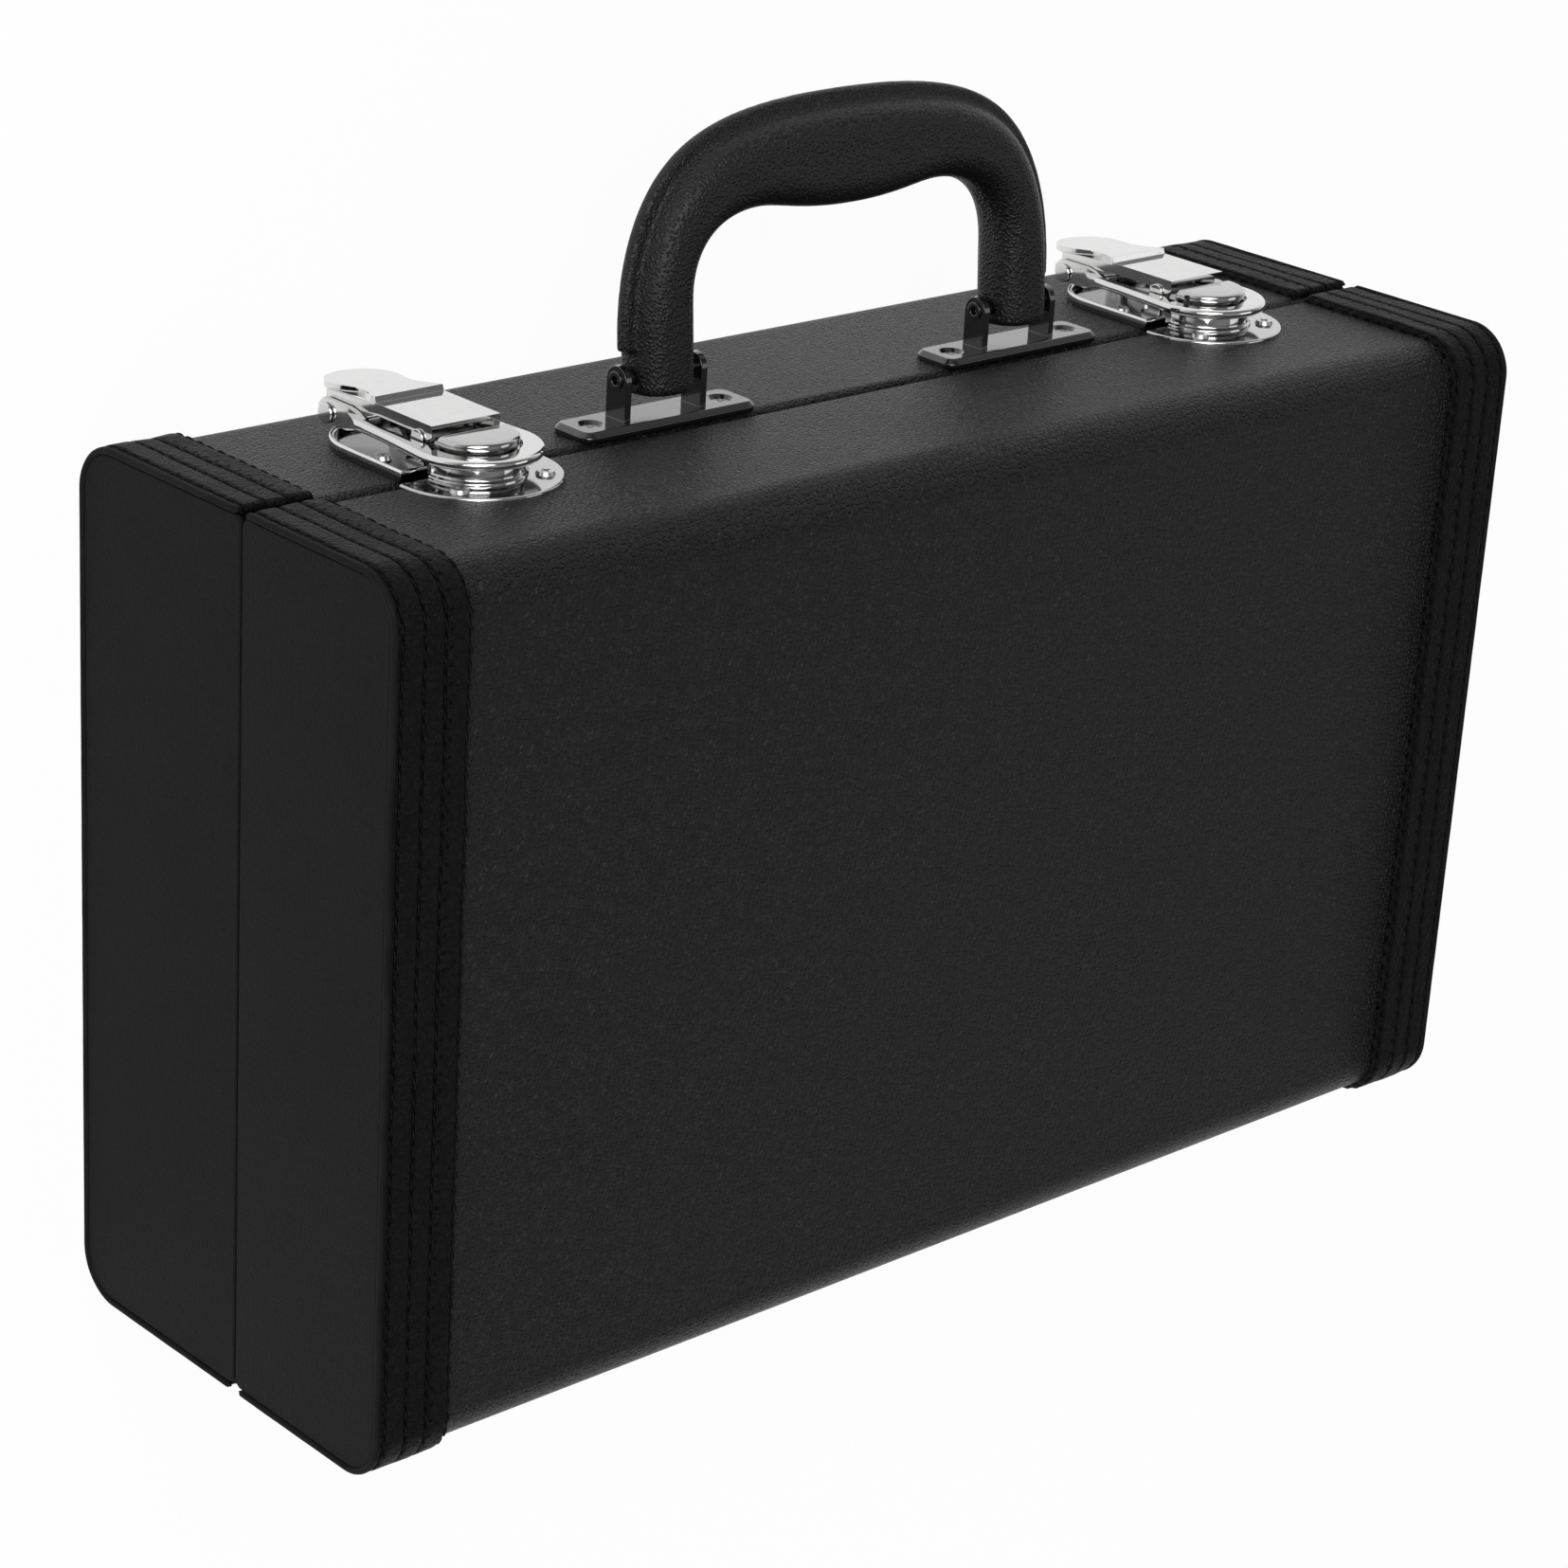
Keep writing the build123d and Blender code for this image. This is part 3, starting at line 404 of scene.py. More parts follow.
cameraSet = {
    "place": (0.6442, -0.3439, 0.7315), "right": (-0.7442, -0.0555, 0.6657),
    "up": (-0.2098, -0.9267, -0.3118), "back": (0.6342, -0.3717, 0.6780),
    "lens": 97.24, "sensor": 36.0, "near": 0.01, "far": 50,
}
studio = {
    "keyPlace": (0.9, -0.9, 1.4), "keySize": (1.5, 1.1), "keyPower": 24.0,
    "topPlace": (-1.14, -0.15, 1.4), "topSize": (0.8, 0.8), "topPower": 2.2,
    "fillPlace": (1.1, 1.3, 0.9), "fillSize": (0.9, 0.6), "fillPower": 10.0,
    "aim": (0, 0, 0.05),
    "horizon": 0.62, "middle": 0.14, "zenith": 0.30, "worldPower": 1.0,
    "horizonTo": 0.12, "middleFrom": 0.42, "middleTo": 0.72,
    "floorTone": 0.9, "cameraGlow": 0.96, "glossGlow": 1.0, "floorHalf": 6.0,
    "nearGlow": 0.35, "nearMiddle": 0.032, "nearFrom": 0.09, "nearTo": 0.104,
}


def placeCamera():
    data = bpy.data.cameras.new("camera")
    data.lens, data.sensor_width = cameraSet["lens"], cameraSet["sensor"]
    data.clip_start, data.clip_end = cameraSet["near"], cameraSet["far"]
    eye = bpy.data.objects.new("camera", data)
    bpy.context.scene.collection.objects.link(eye)
    turn = Matrix((cameraSet["right"], cameraSet["up"], cameraSet["back"])).transposed().to_4x4()
    turn = turn.to_quaternion().to_matrix().to_4x4()
    eye.matrix_world = Matrix.Translation(cameraSet["place"]) @ turn
    bpy.context.scene.camera = eye


def areaLight(name):
    data = bpy.data.lights.new(f"{name}Light", "AREA")
    data.shape, data.energy = "RECTANGLE", studio[f"{name}Power"]
    data.size, data.size_y = studio[f"{name}Size"]
    lamp = bpy.data.objects.new(f"{name}Light", data)
    bpy.context.scene.collection.objects.link(lamp)
    lamp.location = studio[f"{name}Place"]
    aim = Vector(studio["aim"]) - Vector(studio[f"{name}Place"])
    lamp.rotation_euler = aim.to_track_quat("-Z", "Y").to_euler()


def makeWorld():
    world = bpy.data.worlds.new("studio")
    bpy.context.scene.world = world
    world.use_nodes = True
    wire = Wire(world.node_tree)
    height = wire.node("ShaderNodeTexCoord", out=0).split()[2]
    tone = wire.node("ShaderNodeValToRGB", {"stops": [
        (0.0, studio["horizon"]), (1.0, studio["zenith"]),
        (studio["horizonTo"], studio["horizon"]), (studio["middleFrom"], studio["middle"]),
        (studio["middleTo"], studio["middle"])]}, {0: height})
    background = world.node_tree.nodes["Background"]
    wire.feed(background.inputs["Color"], tone)
    background.inputs["Strength"].default_value = studio["worldPower"]


def makeFloor():
    bpy.ops.object.select_all(action="DESELECT")
    bpy.ops.mesh.primitive_plane_add(size=2 * studio["floorHalf"], location=(0, 0, 0))
    floor = bpy.context.object
    floor.name = "floor"
    made, wire, shader = newMaterial("paleFloor", Base_Color=grey(studio["floorTone"]),
                                     Roughness=0.9, Specular_IOR_Level=0.0)
    path = wire.node("ShaderNodeLightPath")
    rays = {out.name: Wire(wire.tree, out) for out in path.socket.node.outputs}
    shiny = wire.maths("MAXIMUM", rays["Is Glossy Ray"], rays["Is Transmission Ray"])
    # painted shadow: polished parts see the floor dimmed in a strip that runs under the case and
    # past its ends, standing in for the case's shadow there
    across = wire.maths("ABSOLUTE", objectPlace(wire).split()[1] - studio["nearMiddle"])
    dimmed = across.step(studio["nearFrom"], studio["nearTo"],
                         studio["nearGlow"], studio["glossGlow"])
    seen = wire.maths("MAXIMUM", rays["Is Camera Ray"] * studio["cameraGlow"], shiny * dimmed)
    glow = wire.node("ShaderNodeEmission", {}, {"Color": grey(1.0), "Strength": 1.0})
    mixed = wire.node("ShaderNodeMixShader", {},
                      {0: seen, 1: Wire(wire.tree, shader.outputs[0]), 2: glow})
    wire.feed(made.node_tree.nodes["Material Output"].inputs["Surface"], mixed)
    dress(floor, made)


placeCamera()
for name in ("key", "fill", "top"):
    areaLight(name)
makeWorld()
makeFloor()
bpy.context.scene.view_settings.view_transform = "Standard"
print("camera, lights and floor placed")


def only(piece):
    bpy.ops.object.select_all(action="DESELECT")
    piece.select_set(True)
    bpy.context.view_layer.objects.active = piece


def openAll(piece):
    # into edit mode, with the whole mesh selected
    only(piece)
    bpy.ops.object.mode_set(mode="EDIT")
    bpy.ops.mesh.select_all(action="SELECT")


def closeEdit():
    bpy.ops.object.mode_set(mode="OBJECT")


def applyAll(piece):
    only(piece)
    for modifier in list(piece.modifiers):
        bpy.ops.object.modifier_apply(modifier=modifier.name)


def smoothBelow(degrees):
    bpy.ops.object.shade_smooth_by_angle(angle=math.radians(degrees))


def settle(piece, body, slotName, made, *replaced):
    # last steps that every finished piece shares
    dress(piece, made)
    if replaced:
        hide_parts(*replaced)
    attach(piece, body)


def cadCopy(name, source):
    # a merged copy of a CAD node's mesh, ready for further modelling
    piece = bpy.data.objects.new(name, nodes[source].data.copy())
    bpy.context.scene.collection.objects.link(piece)
    openAll(piece)
    bpy.ops.mesh.remove_doubles(threshold=0.002 * mm)
    bpy.ops.mesh.customdata_custom_splitnormals_clear()
    closeEdit()
    return piece


def meshPiece(name, points, faces):
    # a new piece from its points and faces, with its faces turned outwards
    mesh = bpy.data.meshes.new(name)
    mesh.from_pydata(points, [], faces)
    mesh.update()
    piece = bpy.data.objects.new(name, mesh)
    bpy.context.scene.collection.objects.link(piece)
    openAll(piece)
    bpy.ops.mesh.normals_make_consistent(inside=False)
    closeEdit()
    bpy.ops.object.shade_smooth()
    return piece


def remeshed(piece, voxel, smoothing=0):
    # one even skin over the whole piece, and its edges softened by the smoothing
    skin = piece.modifiers.new("skin", "REMESH")
    skin.mode, skin.voxel_size = "VOXEL", voxel
    if smoothing:
        soft = piece.modifiers.new("soft", "SMOOTH")
        soft.factor, soft.iterations = 0.5, smoothing
    applyAll(piece)


# how far each kind of edge is broken, and then the angles in degrees
fittingSet = {
    "lever": 0.28 * mm, "bail": 0.35 * mm, "tray": 0.2 * mm, "bracket": 0.35 * mm,
    "leaf": 0.2 * mm, "head": 0.2 * mm, "segments": 3, "weight": 80,
    "flat": 0.8, "bevelFrom": 32.0, "smooth": 38,
}

# piece, node, body, slot, finish and kind of edge
fittings = (
    ("latchLever", "latch_lever", "lever_{}", "chrome", chrome, "lever"),
    ("latchBail", "latch_bail", "bail_{}", "chrome", chrome, "bail"),
    ("latchTray", "latch_tray", "base", "chrome", trayPlate, "tray"),
    ("latchRivets", "latch_rivets", "lever_{}", "chrome", chrome, "head"),
    ("latchPin", "latch_pivot_pin", "base", "chrome", chrome, "head"),
    ("handleBracket", "handle_bracket", "base", "black_steel", blackSteel, "bracket"),
    ("handlePin", "handle_pin", "base", "screw_steel", blackSteel, "head"),
    ("hingeLeaf.base", "hinge_leaf_base", "base", "hinge_steel", hingePlate, "leaf"),
    ("hingeLeaf.lid", "hinge_leaf_lid", "lid", "hinge_steel", hingePlate, "leaf"),
)


def roundedCopy(name, source, body, slotName, made, width):
    # the same piece with its sharp edges broken, as stamped and plated metal has them
    piece = cadCopy(name, source)
    openAll(piece)
    bpy.ops.mesh.dissolve_limited(angle_limit=math.radians(fittingSet["flat"]))
    closeEdit()
    bevel = piece.modifiers.new("edges", "BEVEL")
    bevel.width, bevel.segments = width, fittingSet["segments"]
    bevel.limit_method, bevel.angle_limit = "ANGLE", math.radians(fittingSet["bevelFrom"])
    applyAll(piece)
    smoothBelow(fittingSet["smooth"])
    flatter = piece.modifiers.new("flatter", "WEIGHTED_NORMAL")
    flatter.keep_sharp, flatter.weight = True, fittingSet["weight"]
    applyAll(piece)
    settle(piece, body, slotName, made, source)


for side in sides:
    for name, source, body, slotName, made, edge in fittings:
        roundedCopy(f"{name}.{side}", f"{source}_{side}", body.format(side), slotName, made,
                    fittingSet[edge])

# outlines as (radius, height) pairs in millimetres, from the skin outwards
keeperSet = {
    "boss": ((11.6, 0.5), (11.6, 1.2), (11.45, 1.5), (11.15, 1.65), (10.98, 1.9), (10.9, 2.3),
             (10.9, 4.0), (10.78, 4.3), (10.45, 4.48), (9.5, 4.6), (9.15, 4.8), (9.0, 5.2),
             (9.0, 7.1), (9.12, 7.4), (9.4, 7.55), (9.52, 7.85), (9.52, 8.6), (9.4, 9.0),
             (9.1, 9.3), (8.7, 9.46), (8.2, 9.5)),
    "plate": ((19.2, 0.0), (19.2, 0.45), (19.08, 0.66), (18.85, 0.78), (18.5, 0.8)),
    "back": 0.7 * mm, "points": 96, "corner": 0.3 * mm, "segments": 3, "smooth": 42,
    "near": 0.01 * mm, "above": 1.0 * mm,
}


def turnedDisc(place, outline, cut):
    # a round face drawn out step by step and then cut straight across its back
    bpy.ops.object.select_all(action="DESELECT")
    bpy.ops.mesh.primitive_circle_add(
        vertices=keeperSet["points"], radius=outline[0][0] * mm, fill_type="NGON",
        location=place - Vector((0, outline[0][1] * mm, 0)), rotation=(math.pi / 2, 0, 0))
    piece = bpy.context.object
    bpy.ops.object.transform_apply(location=True, rotation=True, scale=True)
    openAll(piece)
    for (wasR, wasH), (r, h) in zip(outline, outline[1:]):
        bpy.ops.mesh.extrude_region_move(
            TRANSFORM_OT_translate={"value": (0, (wasH - h) * mm, 0)})
        bpy.ops.transform.resize(value=(r / wasR, 1, r / wasR), center_override=place)
    bpy.ops.mesh.select_all(action="SELECT")
    bpy.ops.mesh.bisect(plane_co=(0, 0, cut), plane_no=(0, 0, 1), use_fill=True,
                        clear_inner=True)
    bpy.ops.mesh.select_all(action="SELECT")
    bpy.ops.mesh.normals_make_consistent(inside=False)
    closeEdit()
    return piece


def makeKeeper(side):
    low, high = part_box(f"keeper_{side}")
    k = keeperSet
    middle = Vector(((low.x + high.x) / 2, high.y, high.z - k["plate"][0][0] * mm))
    cut = middle.z - k["back"]
    boss = turnedDisc(middle, k["boss"], cut)
    plate = turnedDisc(middle, k["plate"], low.z)
    # the edges round the boss's flat back are broken
    for item in (*boss.data.vertices, *boss.data.polygons):
        item.select = False
    for edge in boss.data.edges:
        ends = [boss.data.vertices[i] for i in edge.vertices]
        edge.select = all(abs(p.co.z - cut) < k["near"] and p.co.y < middle.y - k["above"]
                          for p in ends)
        if edge.select:
            for p in ends:
                p.select = True
    only(boss)
    bpy.ops.object.mode_set(mode="EDIT")
    bpy.context.tool_settings.mesh_select_mode = (False, True, False)
    bpy.ops.mesh.bevel(offset=k["corner"], segments=k["segments"], affect="EDGES",
                       clamp_overlap=True)
    bpy.context.tool_settings.mesh_select_mode = (True, False, False)
    closeEdit()
    plate.select_set(True)
    bpy.ops.object.join()
    boss.name = f"latchKeeper.{side}"
    smoothBelow(k["smooth"])
    settle(boss, "lid", "chrome", keeperPlate, f"keeper_{side}")


for side in sides:
    makeKeeper(side)


screwSet = {"sink": 0.85 * mm, "slim": 0.66, "head": 1.3 * mm, "top": 0.01 * mm,
            "apart": 12 * mm, "smooth": 30}


def sinkHandleScrews():
    # the bracket screws sit deep in their countersinks, so a dark ring shows round each head
    piece = cadCopy("handleScrews", "handle_screws")
    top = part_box("handle_screws")[0].y
    tops = {}
    for vertex in piece.data.vertices:
        if vertex.co.y < top + screwSet["top"]:
            key = round(vertex.co.x / screwSet["apart"])
            tops.setdefault(key, []).append(vertex.co.copy())
    middles = [(sum(p.x for p in ring) / len(ring), sum(p.z for p in ring) / len(ring))
               for ring in tops.values()]
    for vertex in piece.data.vertices:
        x, z = min(middles, key=lambda m: (vertex.co.x - m[0]) ** 2 + (vertex.co.z - m[1]) ** 2)
        if vertex.co.y < top + screwSet["head"]:
            vertex.co.x = x + (vertex.co.x - x) * screwSet["slim"]
            vertex.co.z = z + (vertex.co.z - z) * screwSet["slim"]
            vertex.co.y += screwSet["sink"]
    only(piece)
    smoothBelow(screwSet["smooth"])
    settle(piece, "base", "screw_steel", screwSteel, "handle_screws")


sinkHandleScrews()
print("metal fittings made")


handleSet = {"voxel": 0.48 * mm, "smooth": 14}


def makeHandle():
    # one moulding, so the ridge flows into the grip with a small soft root
    piece = cadCopy("handleMoulding", "handle_grip")
    remeshed(piece, handleSet["voxel"], handleSet["smooth"])
    bpy.ops.object.shade_smooth()
    settle(piece, "handle", "handle_plastic", handlePlastic, "handle_grip")


makeHandle()
print("handle made")


bandSet = {
    "cornerR": 12 * mm, "thick": 1.8 * mm, "outer": 1.5 * mm, "inner": 20.3 * mm,
    "rows": seamRows, "rowShift": 0.37, "groove": 0.42 * mm, "grooveW": 0.6 * mm,
    "pull": 0.11 * mm, "sink": 0.1 * mm, "crown": 0.3 * mm, "crownWide": 9 * mm,
    "crownLong": 16 * mm, "edgeR": 0.8 * mm, "notch": 0.3 * mm, "waver": 0.12 * mm,
    "waverLong": 3.2 * mm, "rootR": 0.7 * mm, "rootLeft": 0.3 * mm, "rimR": 1.4 * mm,
    "step": 0.56 * mm, "columns": 22, "rowColumn": 0.33 * mm, "innerColumn": 0.2 * mm,
    "outerColumn": 0.16 * mm, "leastColumn": 0.12 * mm, "wall": 0.45 * mm, "seed": 7,
}
stitchSet = {
    "pitch": 3.9 * mm, "long": 3.1 * mm, "threadR": 0.24 * mm, "points": 7, "dip": 0.34 * mm,
    "rings": (-0.34, -0.12, 0.12, 0.34), "proud": 0.75, "stray": 0.08, "lean": (0.02, 0.16),
}
beadSet = {"r": 0.82 * mm, "inset": 0.14 * mm, "points": 12, "step": 1.1 * mm, "wave": 0.04,
           "waveLong": 5 * mm, "closing": 1.2 * mm}
skinSet = {"reach": 0.85 * mm, "gap": 0.14 * mm, "smooth": 38}


class Route:
    # the outline of one half, seen from its end: front wall, panel and hinge wall, corners round
    def __init__(self, half):
        low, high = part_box(f"{half}_band_left")
        self.y0, self.y1 = low.y, high.y
        self.closed, self.rim = (low.z, high.z) if half == "base" else (high.z, low.z)
        self.up = 1 if half == "base" else -1
        r = bandSet["cornerR"]
        self.wall = abs(self.rim - self.closed) - r
        self.arc = math.pi / 2 * r
        self.panel = self.y1 - self.y0 - 2 * r
        self.length = 2 * self.wall + 2 * self.arc + self.panel

    def at(self, s):
        # place in the YZ plane and outward direction, at the outer surface
        r = bandSet["cornerR"]
        c = self.closed + self.up * r
        if s <= self.wall:
            return (self.y0, self.rim - self.up * s), (-1.0, 0.0)
        s -= self.wall
        if s <= self.arc:
            a = s / r
            out = (-math.cos(a), -self.up * math.sin(a))
            return (self.y0 + r + r * out[0], c + r * out[1]), out
        s -= self.arc
        if s <= self.panel:
            return (self.y0 + r + s, self.closed), (0.0, -float(self.up))
        s -= self.panel
        if s <= self.arc:
            a = s / r
            out = (math.sin(a), -self.up * math.cos(a))
            return (self.y1 - r + r * out[0], c + r * out[1]), out
        s -= self.arc
        return (self.y1, c + self.up * s), (1.0, 0.0)

    def point(self, x, s, lift):
        (y, z), (ny, nz) = self.at(s)
        return Vector((x, y + ny * lift, z + nz * lift))


def needleBeat(s, row):
    # 1 where the needle went through and 0 half way between
    return 0.5 + 0.5 * math.cos(2 * math.pi * (s / stitchSet["pitch"] + bandSet["rowShift"] * row))


def roundOver(far, radius):
    # how deep a rounded edge lies, from 1 at the edge to 0 at its radius
    if far >= radius:
        return 0.0
    return 1 - math.sqrt(max(0.0, 1 - (1 - max(0.0, far) / radius) ** 2))


def bandLift(e, s, length, shift):
    # height of the band's surface against its nominal one, e from the end and s along the route
    b = bandSet
    crown = noise.noise(Vector((e / b["crownWide"], s / b["crownLong"], shift)))
    lift = -b["sink"] + b["crown"] * crown
    for row, place in enumerate(b["rows"]):
        off = abs(e - place) / b["grooveW"]
        if off < 3:
            depth = b["groove"] + b["pull"] * needleBeat(s, row)
            lift -= depth * math.exp(-off * off * 1.6)
    waver = b["waver"] * noise.noise(Vector((s / b["waverLong"], shift, 4.0)))
    fold = b["inner"] - e
    fold -= b["notch"] * needleBeat(s, 3) + waver
    lift -= b["thick"] * roundOver(fold, b["edgeR"])
    lift -= (b["thick"] - b["rootLeft"]) * roundOver(e - b["outer"], b["rootR"])
    for fromRim in (s, length - s):
        lift -= b["thick"] * roundOver(fromRim, b["rimR"])
    return max(min(lift, 0.0), -b["thick"])


def columnPlaces():
    # finer columns at the stitched rows and at both edges
    b = bandSet
    span = b["inner"] - b["outer"]
    places = {round(b["outer"] + span * i / b["columns"], 7) for i in range(b["columns"] + 1)}
    for place in b["rows"]:
        places |= {round(place + k * b["rowColumn"], 7) for k in range(-3, 4)}
    for k in range(5):
        places.add(round(b["inner"] - k * b["innerColumn"], 7))
        places.add(round(b["outer"] + k * b["outerColumn"], 7))
    kept = []
    for place in sorted(p for p in places if b["outer"] <= p <= b["inner"]):
        if not kept or place - kept[-1] > b["leastColumn"]:
            kept.append(place)
    kept[-1] = b["inner"]
    return kept


def makeBand(half, side):
    b = bandSet
    route = Route(half)
    end = sides[side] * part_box(f"{half}_piping_left")[1].x
    columns = columnPlaces()
    wide = len(columns)
    rows = int(route.length / b["step"])
    bpy.ops.object.select_all(action="DESELECT")
    bpy.ops.mesh.primitive_grid_add(x_subdivisions=wide - 1, y_subdivisions=rows, size=1)
    piece = bpy.context.object
    piece.name = f"band.{half}.{side}"
    mesh = piece.data
    shift = {"base": 0.0, "lid": 20.0}[half] + sides[side] * 5.0  # so that no two bands are alike
    spots = [(columns[i % wide], route.length * (i // wide) / rows)
             for i in range(len(mesh.vertices))]
    for vertex, (e, s) in zip(mesh.vertices, spots):
        vertex.co = route.point(end - sides[side] * e, s, bandLift(e, s, route.length, shift))
    mesh.uv_layers[0].name = "run"
    run = mesh.uv_layers["run"].data
    for loop in mesh.loops:
        e, s = spots[loop.vertex_index]
        run[loop.index].uv = (s, e)
    mesh.update()
    if mesh.polygons[len(mesh.polygons) // 2].normal.z * route.up > 0:
        mesh.flip_normals()
    wall = piece.modifiers.new("wall", "SOLIDIFY")
    wall.thickness, wall.offset = b["wall"], -1
    applyAll(piece)
    bpy.ops.object.shade_smooth()
    settle(piece, half, "band_leatherette", bandLeather, f"{half}_band_{side}")
    return route, end, shift


def modelStitch():
    # one stitch: a short thread, sunk at both ends, from a cylinder with tapered rings
    st = stitchSet
    bpy.ops.object.select_all(action="DESELECT")
    bpy.ops.mesh.primitive_cylinder_add(
        vertices=st["points"], radius=st["threadR"], depth=st["long"], end_fill_type="NGON",
        rotation=(0, math.pi / 2, 0))
    piece = bpy.context.object
    bpy.ops.object.transform_apply(location=True, rotation=True, scale=True)
    for cut in st["rings"]:
        openAll(piece)
        bpy.ops.mesh.bisect(plane_co=(cut * st["long"], 0, 0), plane_no=(1, 0, 0))
        closeEdit()
    for vertex in piece.data.vertices:
        t = abs(vertex.co.x) / (st["long"] / 2)
        slim = math.sqrt(max(0.06, 1 - t ** 3))
        vertex.co.y *= slim
        vertex.co.z = vertex.co.z * slim - st["dip"] * t ** 3
    shape = ([v.co.copy() for v in piece.data.vertices],
             [tuple(p.vertices) for p in piece.data.polygons])
    bpy.data.objects.remove(piece)
    return shape


stitchPoints, stitchFaces = modelStitch()


def sewBand(half, side, route, end, shift):
    # copies of the stitch along every row, each a little different
    b, st = bandSet, stitchSet
    dice = random.Random(b["seed"] + len(half) * 10 + sides[side])
    margin = b["rimR"] + st["long"] / 2
    points, faces = [], []
    for row, place in enumerate(b["rows"]):
        first = (1 - (b["rowShift"] * row) % 1) * st["pitch"] - st["pitch"] / 2
        s = first if first > margin else first + st["pitch"]
        while s < route.length - b["rimR"] - st["long"] / 2:
            x = end - sides[side] * (place + dice.uniform(-st["stray"], st["stray"]) * mm)
            lift = bandLift(place, s, route.length, shift) + st["threadR"] * st["proud"]
            centre = route.point(x, s, lift)
            _, (ny, nz) = route.at(s)
            out = Vector((0, ny, nz))
            run = route.point(x, s + 0.1 * mm, 0) - route.point(x, s - 0.1 * mm, 0)
            run.normalize()
            cross = out.cross(run)
            lean = dice.uniform(*st["lean"])
            along = run * math.cos(lean) + cross * math.sin(lean)
            turn = Matrix((along, out.cross(along), out)).transposed()
            base = len(points)
            points += [centre + turn @ v for v in stitchPoints]
            faces += [tuple(base + i for i in face) for face in stitchFaces]
            s += st["pitch"]
    piece = meshPiece(f"stitches.{half}.{side}", points, faces)
    settle(piece, half, "band_leatherette", thread)


def makeBead(half, side, route, end):
    # the piping: a thin cord covered in leatherette, right at the edge of the end
    d = beadSet
    rows = int(route.length / d["step"])
    ring = d["points"]
    points, faces = [], []
    for i in range(rows + 1):
        s = route.length * i / rows
        wave = 1 + d["wave"] * noise.noise(Vector((s / d["waveLong"], end * 9, 2.0)))
        toEnd = min(s, route.length - s) / d["closing"]
        closing = min(1.0, math.sqrt(max(0.02, toEnd)))
        for k in range(ring):
            a = 2 * math.pi * k / ring
            r = d["r"] * wave * closing
            x = end - sides[side] * (d["r"] + d["inset"] - r * math.cos(a))
            points.append(route.point(x, s, -d["r"] - d["inset"] + r * math.sin(a)))
    for i in range(rows):
        for k in range(ring):
            a, c = i * ring + k, i * ring + (k + 1) % ring
            faces.append((a, c, c + ring, a + ring))
    faces.append(tuple(range(ring)))
    faces.append(tuple(rows * ring + k for k in range(ring)))
    piece = meshPiece(f"piping.{half}.{side}", points, faces)
    settle(piece, half, "piping", piping, f"{half}_piping_{side}")


def makeEndSkin(half, side, route):
    # the covering of the end, stretched out as far as the piping
    source = f"{half}_end_skin_{side}"
    piece = cadCopy(f"endSkin.{half}.{side}", source)
    low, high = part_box(source)
    rim = high.z if route.up > 0 else low.z
    wide = 1 + 2 * skinSet["reach"] / (high.y - low.y)
    tall = 1 + (skinSet["reach"] - skinSet["gap"]) / (high.z - low.z)
    openAll(piece)
    bpy.ops.transform.resize(value=(1, wide, tall),
                             center_override=(0, (low.y + high.y) / 2, rim))
    bpy.ops.transform.translate(value=(0, 0, -route.up * skinSet["gap"]))
    closeEdit()
    smoothBelow(skinSet["smooth"])
    settle(piece, half, "leatherette", endLeather, source)


for half in ("base", "lid"):
    for side in sides:
        route, end, shift = makeBand(half, side)
        makeEndSkin(half, side, route)
        sewBand(half, side, route, end, shift)
        makeBead(half, side, route, end)
print("bands, stitching and piping made")


liningSet = {
    "voxel": 2.4 * mm, "rounding": 4, "sway": 0.45 * mm, "swayWide": 22 * mm,
    "foot": 2 * mm, "wallFill": 0.85, "seed": 11,
    "padVoxel": 5.0 * mm, "padCap": 2.2 * mm, "frames": 20, "press": 4.0, "shrink": 1.2 * mm,
    "padFill": 0.7,
}


def joinCopies(name, sources):
    copies = [cadCopy(f"{name}.{i}", source) for i, source in enumerate(sources)]
    for piece in copies:
        piece.select_set(True)
    bpy.context.view_layer.objects.active = copies[0]
    bpy.ops.object.join()
    copies[0].name = name
    return copies[0]


def fillBox(piece, sources, axes):
    # stretched back to the full size, which the softening took a little from
    corners = [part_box(source) for source in sources]
    for i in axes:
        low, high = min(c[0][i] for c in corners), max(c[1][i] for c in corners)
        least = min(v.co[i] for v in piece.data.vertices)
        most = max(v.co[i] for v in piece.data.vertices)
        for vertex in piece.data.vertices:
            vertex.co[i] = low + (vertex.co[i] - least) * (high - low) / (most - least)


def finishPadding(piece, body, sources, axes):
    finer = piece.modifiers.new("finer", "SUBSURF")
    finer.levels = finer.render_levels = 1
    applyAll(piece)
    fillBox(piece, sources, axes)
    bpy.ops.object.shade_smooth()
    settle(piece, body, "plush", plush, *sources)


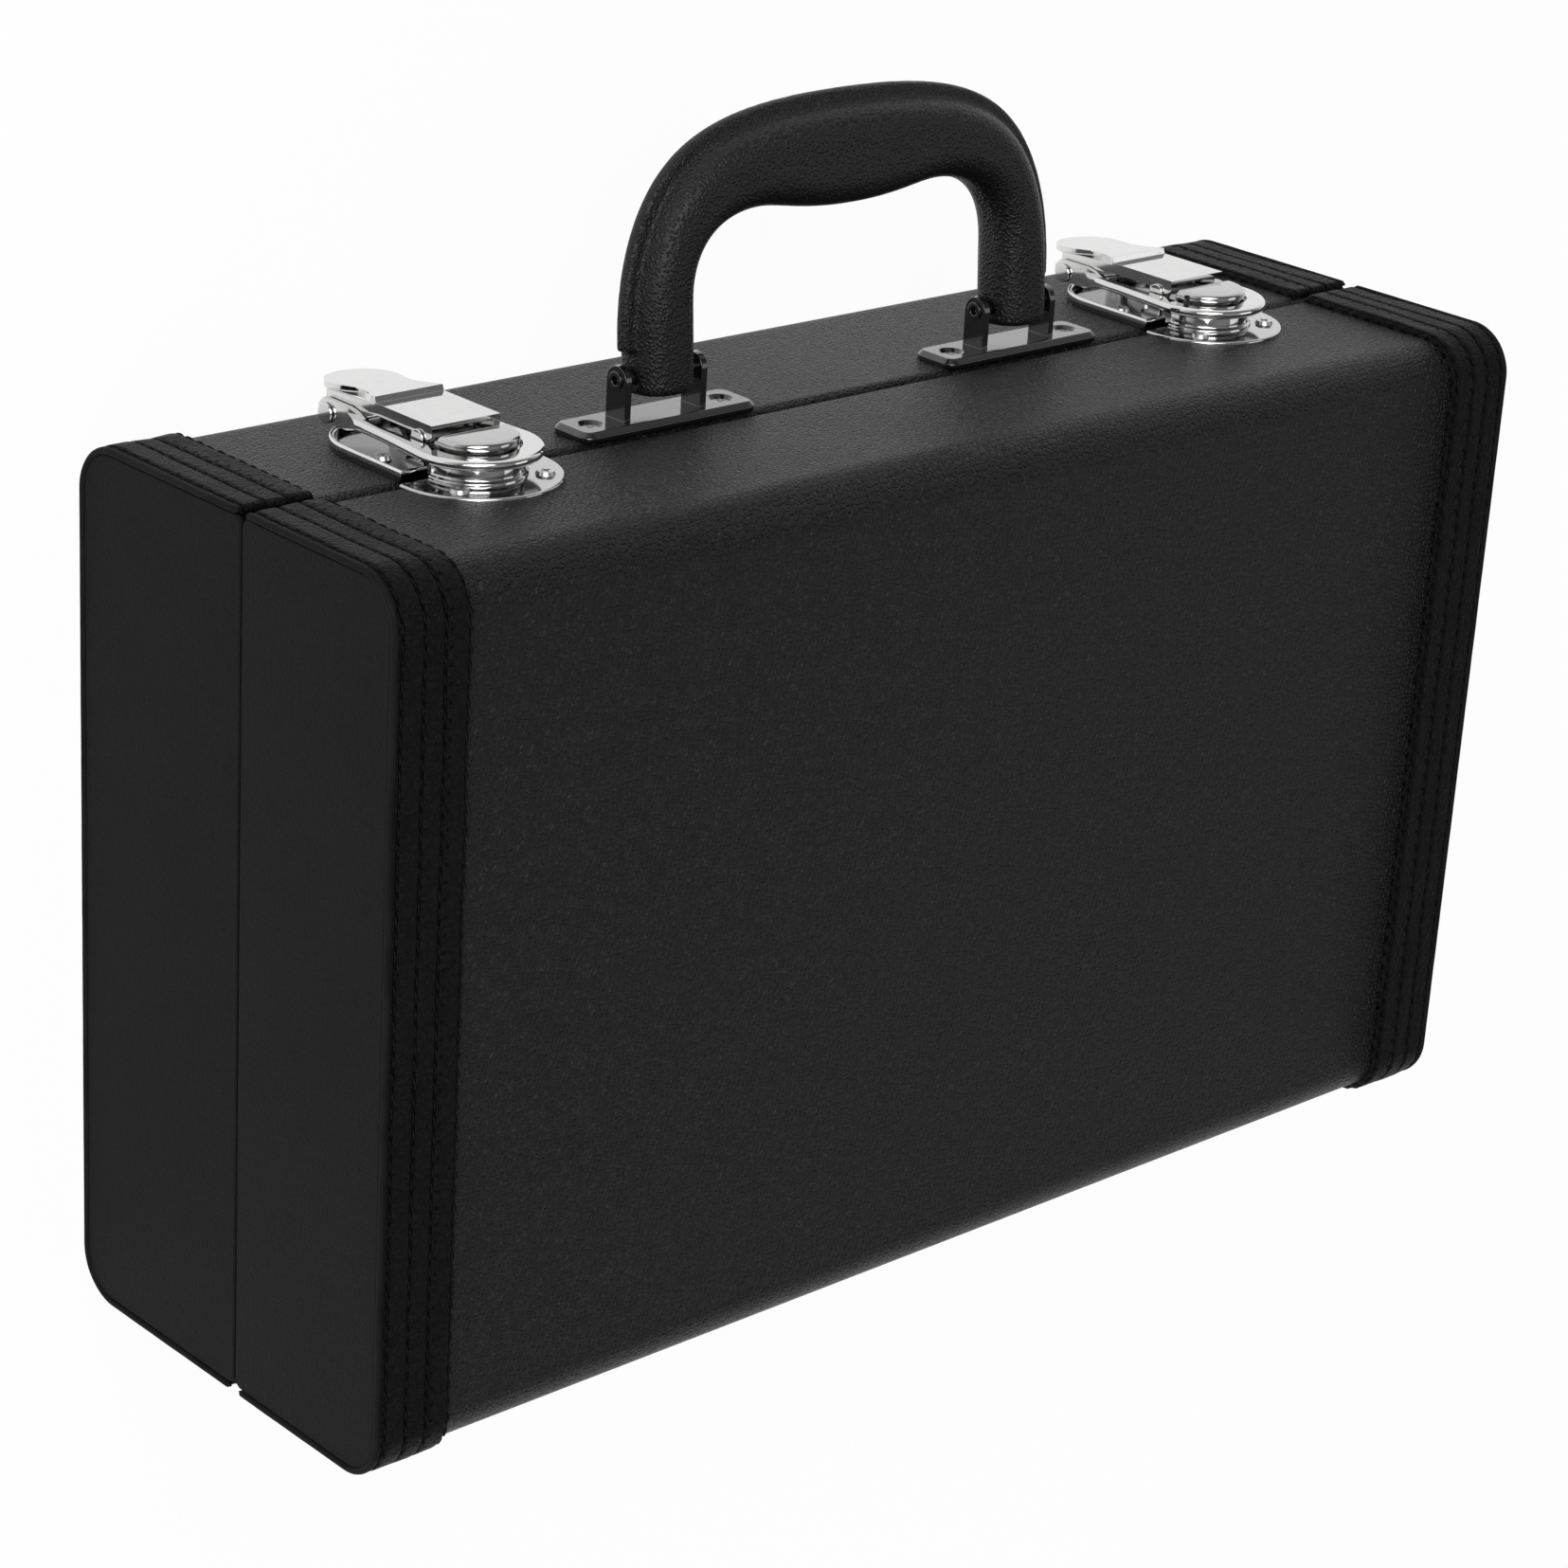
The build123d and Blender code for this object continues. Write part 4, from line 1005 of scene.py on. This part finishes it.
def softBlocks(name, body, sources):
    # foam walls wrapped in plush: their edges are rounded over and the faces waver a little
    piece = joinCopies(name, sources)
    remeshed(piece, liningSet["voxel"], liningSet["rounding"])
    low = min(v.co.z for v in piece.data.vertices)
    high = max(v.co.z for v in piece.data.vertices)
    for vertex in piece.data.vertices:
        sway = noise.noise_vector(vertex.co / liningSet["swayWide"]) * liningSet["sway"]
        vertex.co.x += sway.x
        vertex.co.y += sway.y
        if low + liningSet["foot"] < vertex.co.z < high:
            vertex.co.z += min(0.0, sway.z)
    finishPadding(piece, body, sources, (0, 1, 2))


def puffedPad(name, body, source, faceUp):
    # plush over foam: the open face swells between the walls, under a short cloth run
    piece = cadCopy(name, source)
    low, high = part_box(source)
    centre = (low + high) / 2
    size = high - low
    back = low.z if faceUp > 0 else high.z
    for vertex in piece.data.vertices:
        for i in range(2):
            offset = vertex.co[i] - centre[i]
            vertex.co[i] = centre[i] + offset * (1 - 2 * liningSet["shrink"] / size[i])
        vertex.co.z = back + (vertex.co.z - back) * (1 - 1.5 * liningSet["shrink"] / size.z)
    remeshed(piece, liningSet["padVoxel"])
    start = [v.co.copy() for v in piece.data.vertices]
    cloth = piece.modifiers.new("cloth", "CLOTH")
    cloth.settings.use_pressure = True
    cloth.settings.uniform_pressure_force = liningSet["press"]
    cloth.settings.effector_weights.gravity = 0
    cloth.point_cache.frame_start, cloth.point_cache.frame_end = 1, liningSet["frames"]
    for number in range(1, liningSet["frames"] + 1):
        bpy.context.scene.frame_set(number)
    applyAll(piece)
    bpy.context.scene.frame_set(1)
    cap = liningSet["padCap"]
    for vertex, was in zip(piece.data.vertices, start):
        move = vertex.co - was
        if move.length > cap:
            move *= cap / move.length
        vertex.co = was + move
        vertex.co.z = max(vertex.co.z, back) if faceUp > 0 else min(vertex.co.z, back)
    finishPadding(piece, body, [source], (0, 1))


noise.seed_set(liningSet["seed"])  # noise_vector takes its place from the clock without one
softBlocks("baseLiningWalls", "base",
           ["insert_side_strips", "insert_end_strips", "insert_long_dividers",
            "insert_cross_dividers"])
softBlocks("lidLiningWalls", "lid", ["lid_side_strips", "lid_end_strips"])
puffedPad("baseFloorPad", "base", "insert_floor", 1)
puffedPad("lidPad", "lid", "lid_pad", -1)
print("plush lining made")
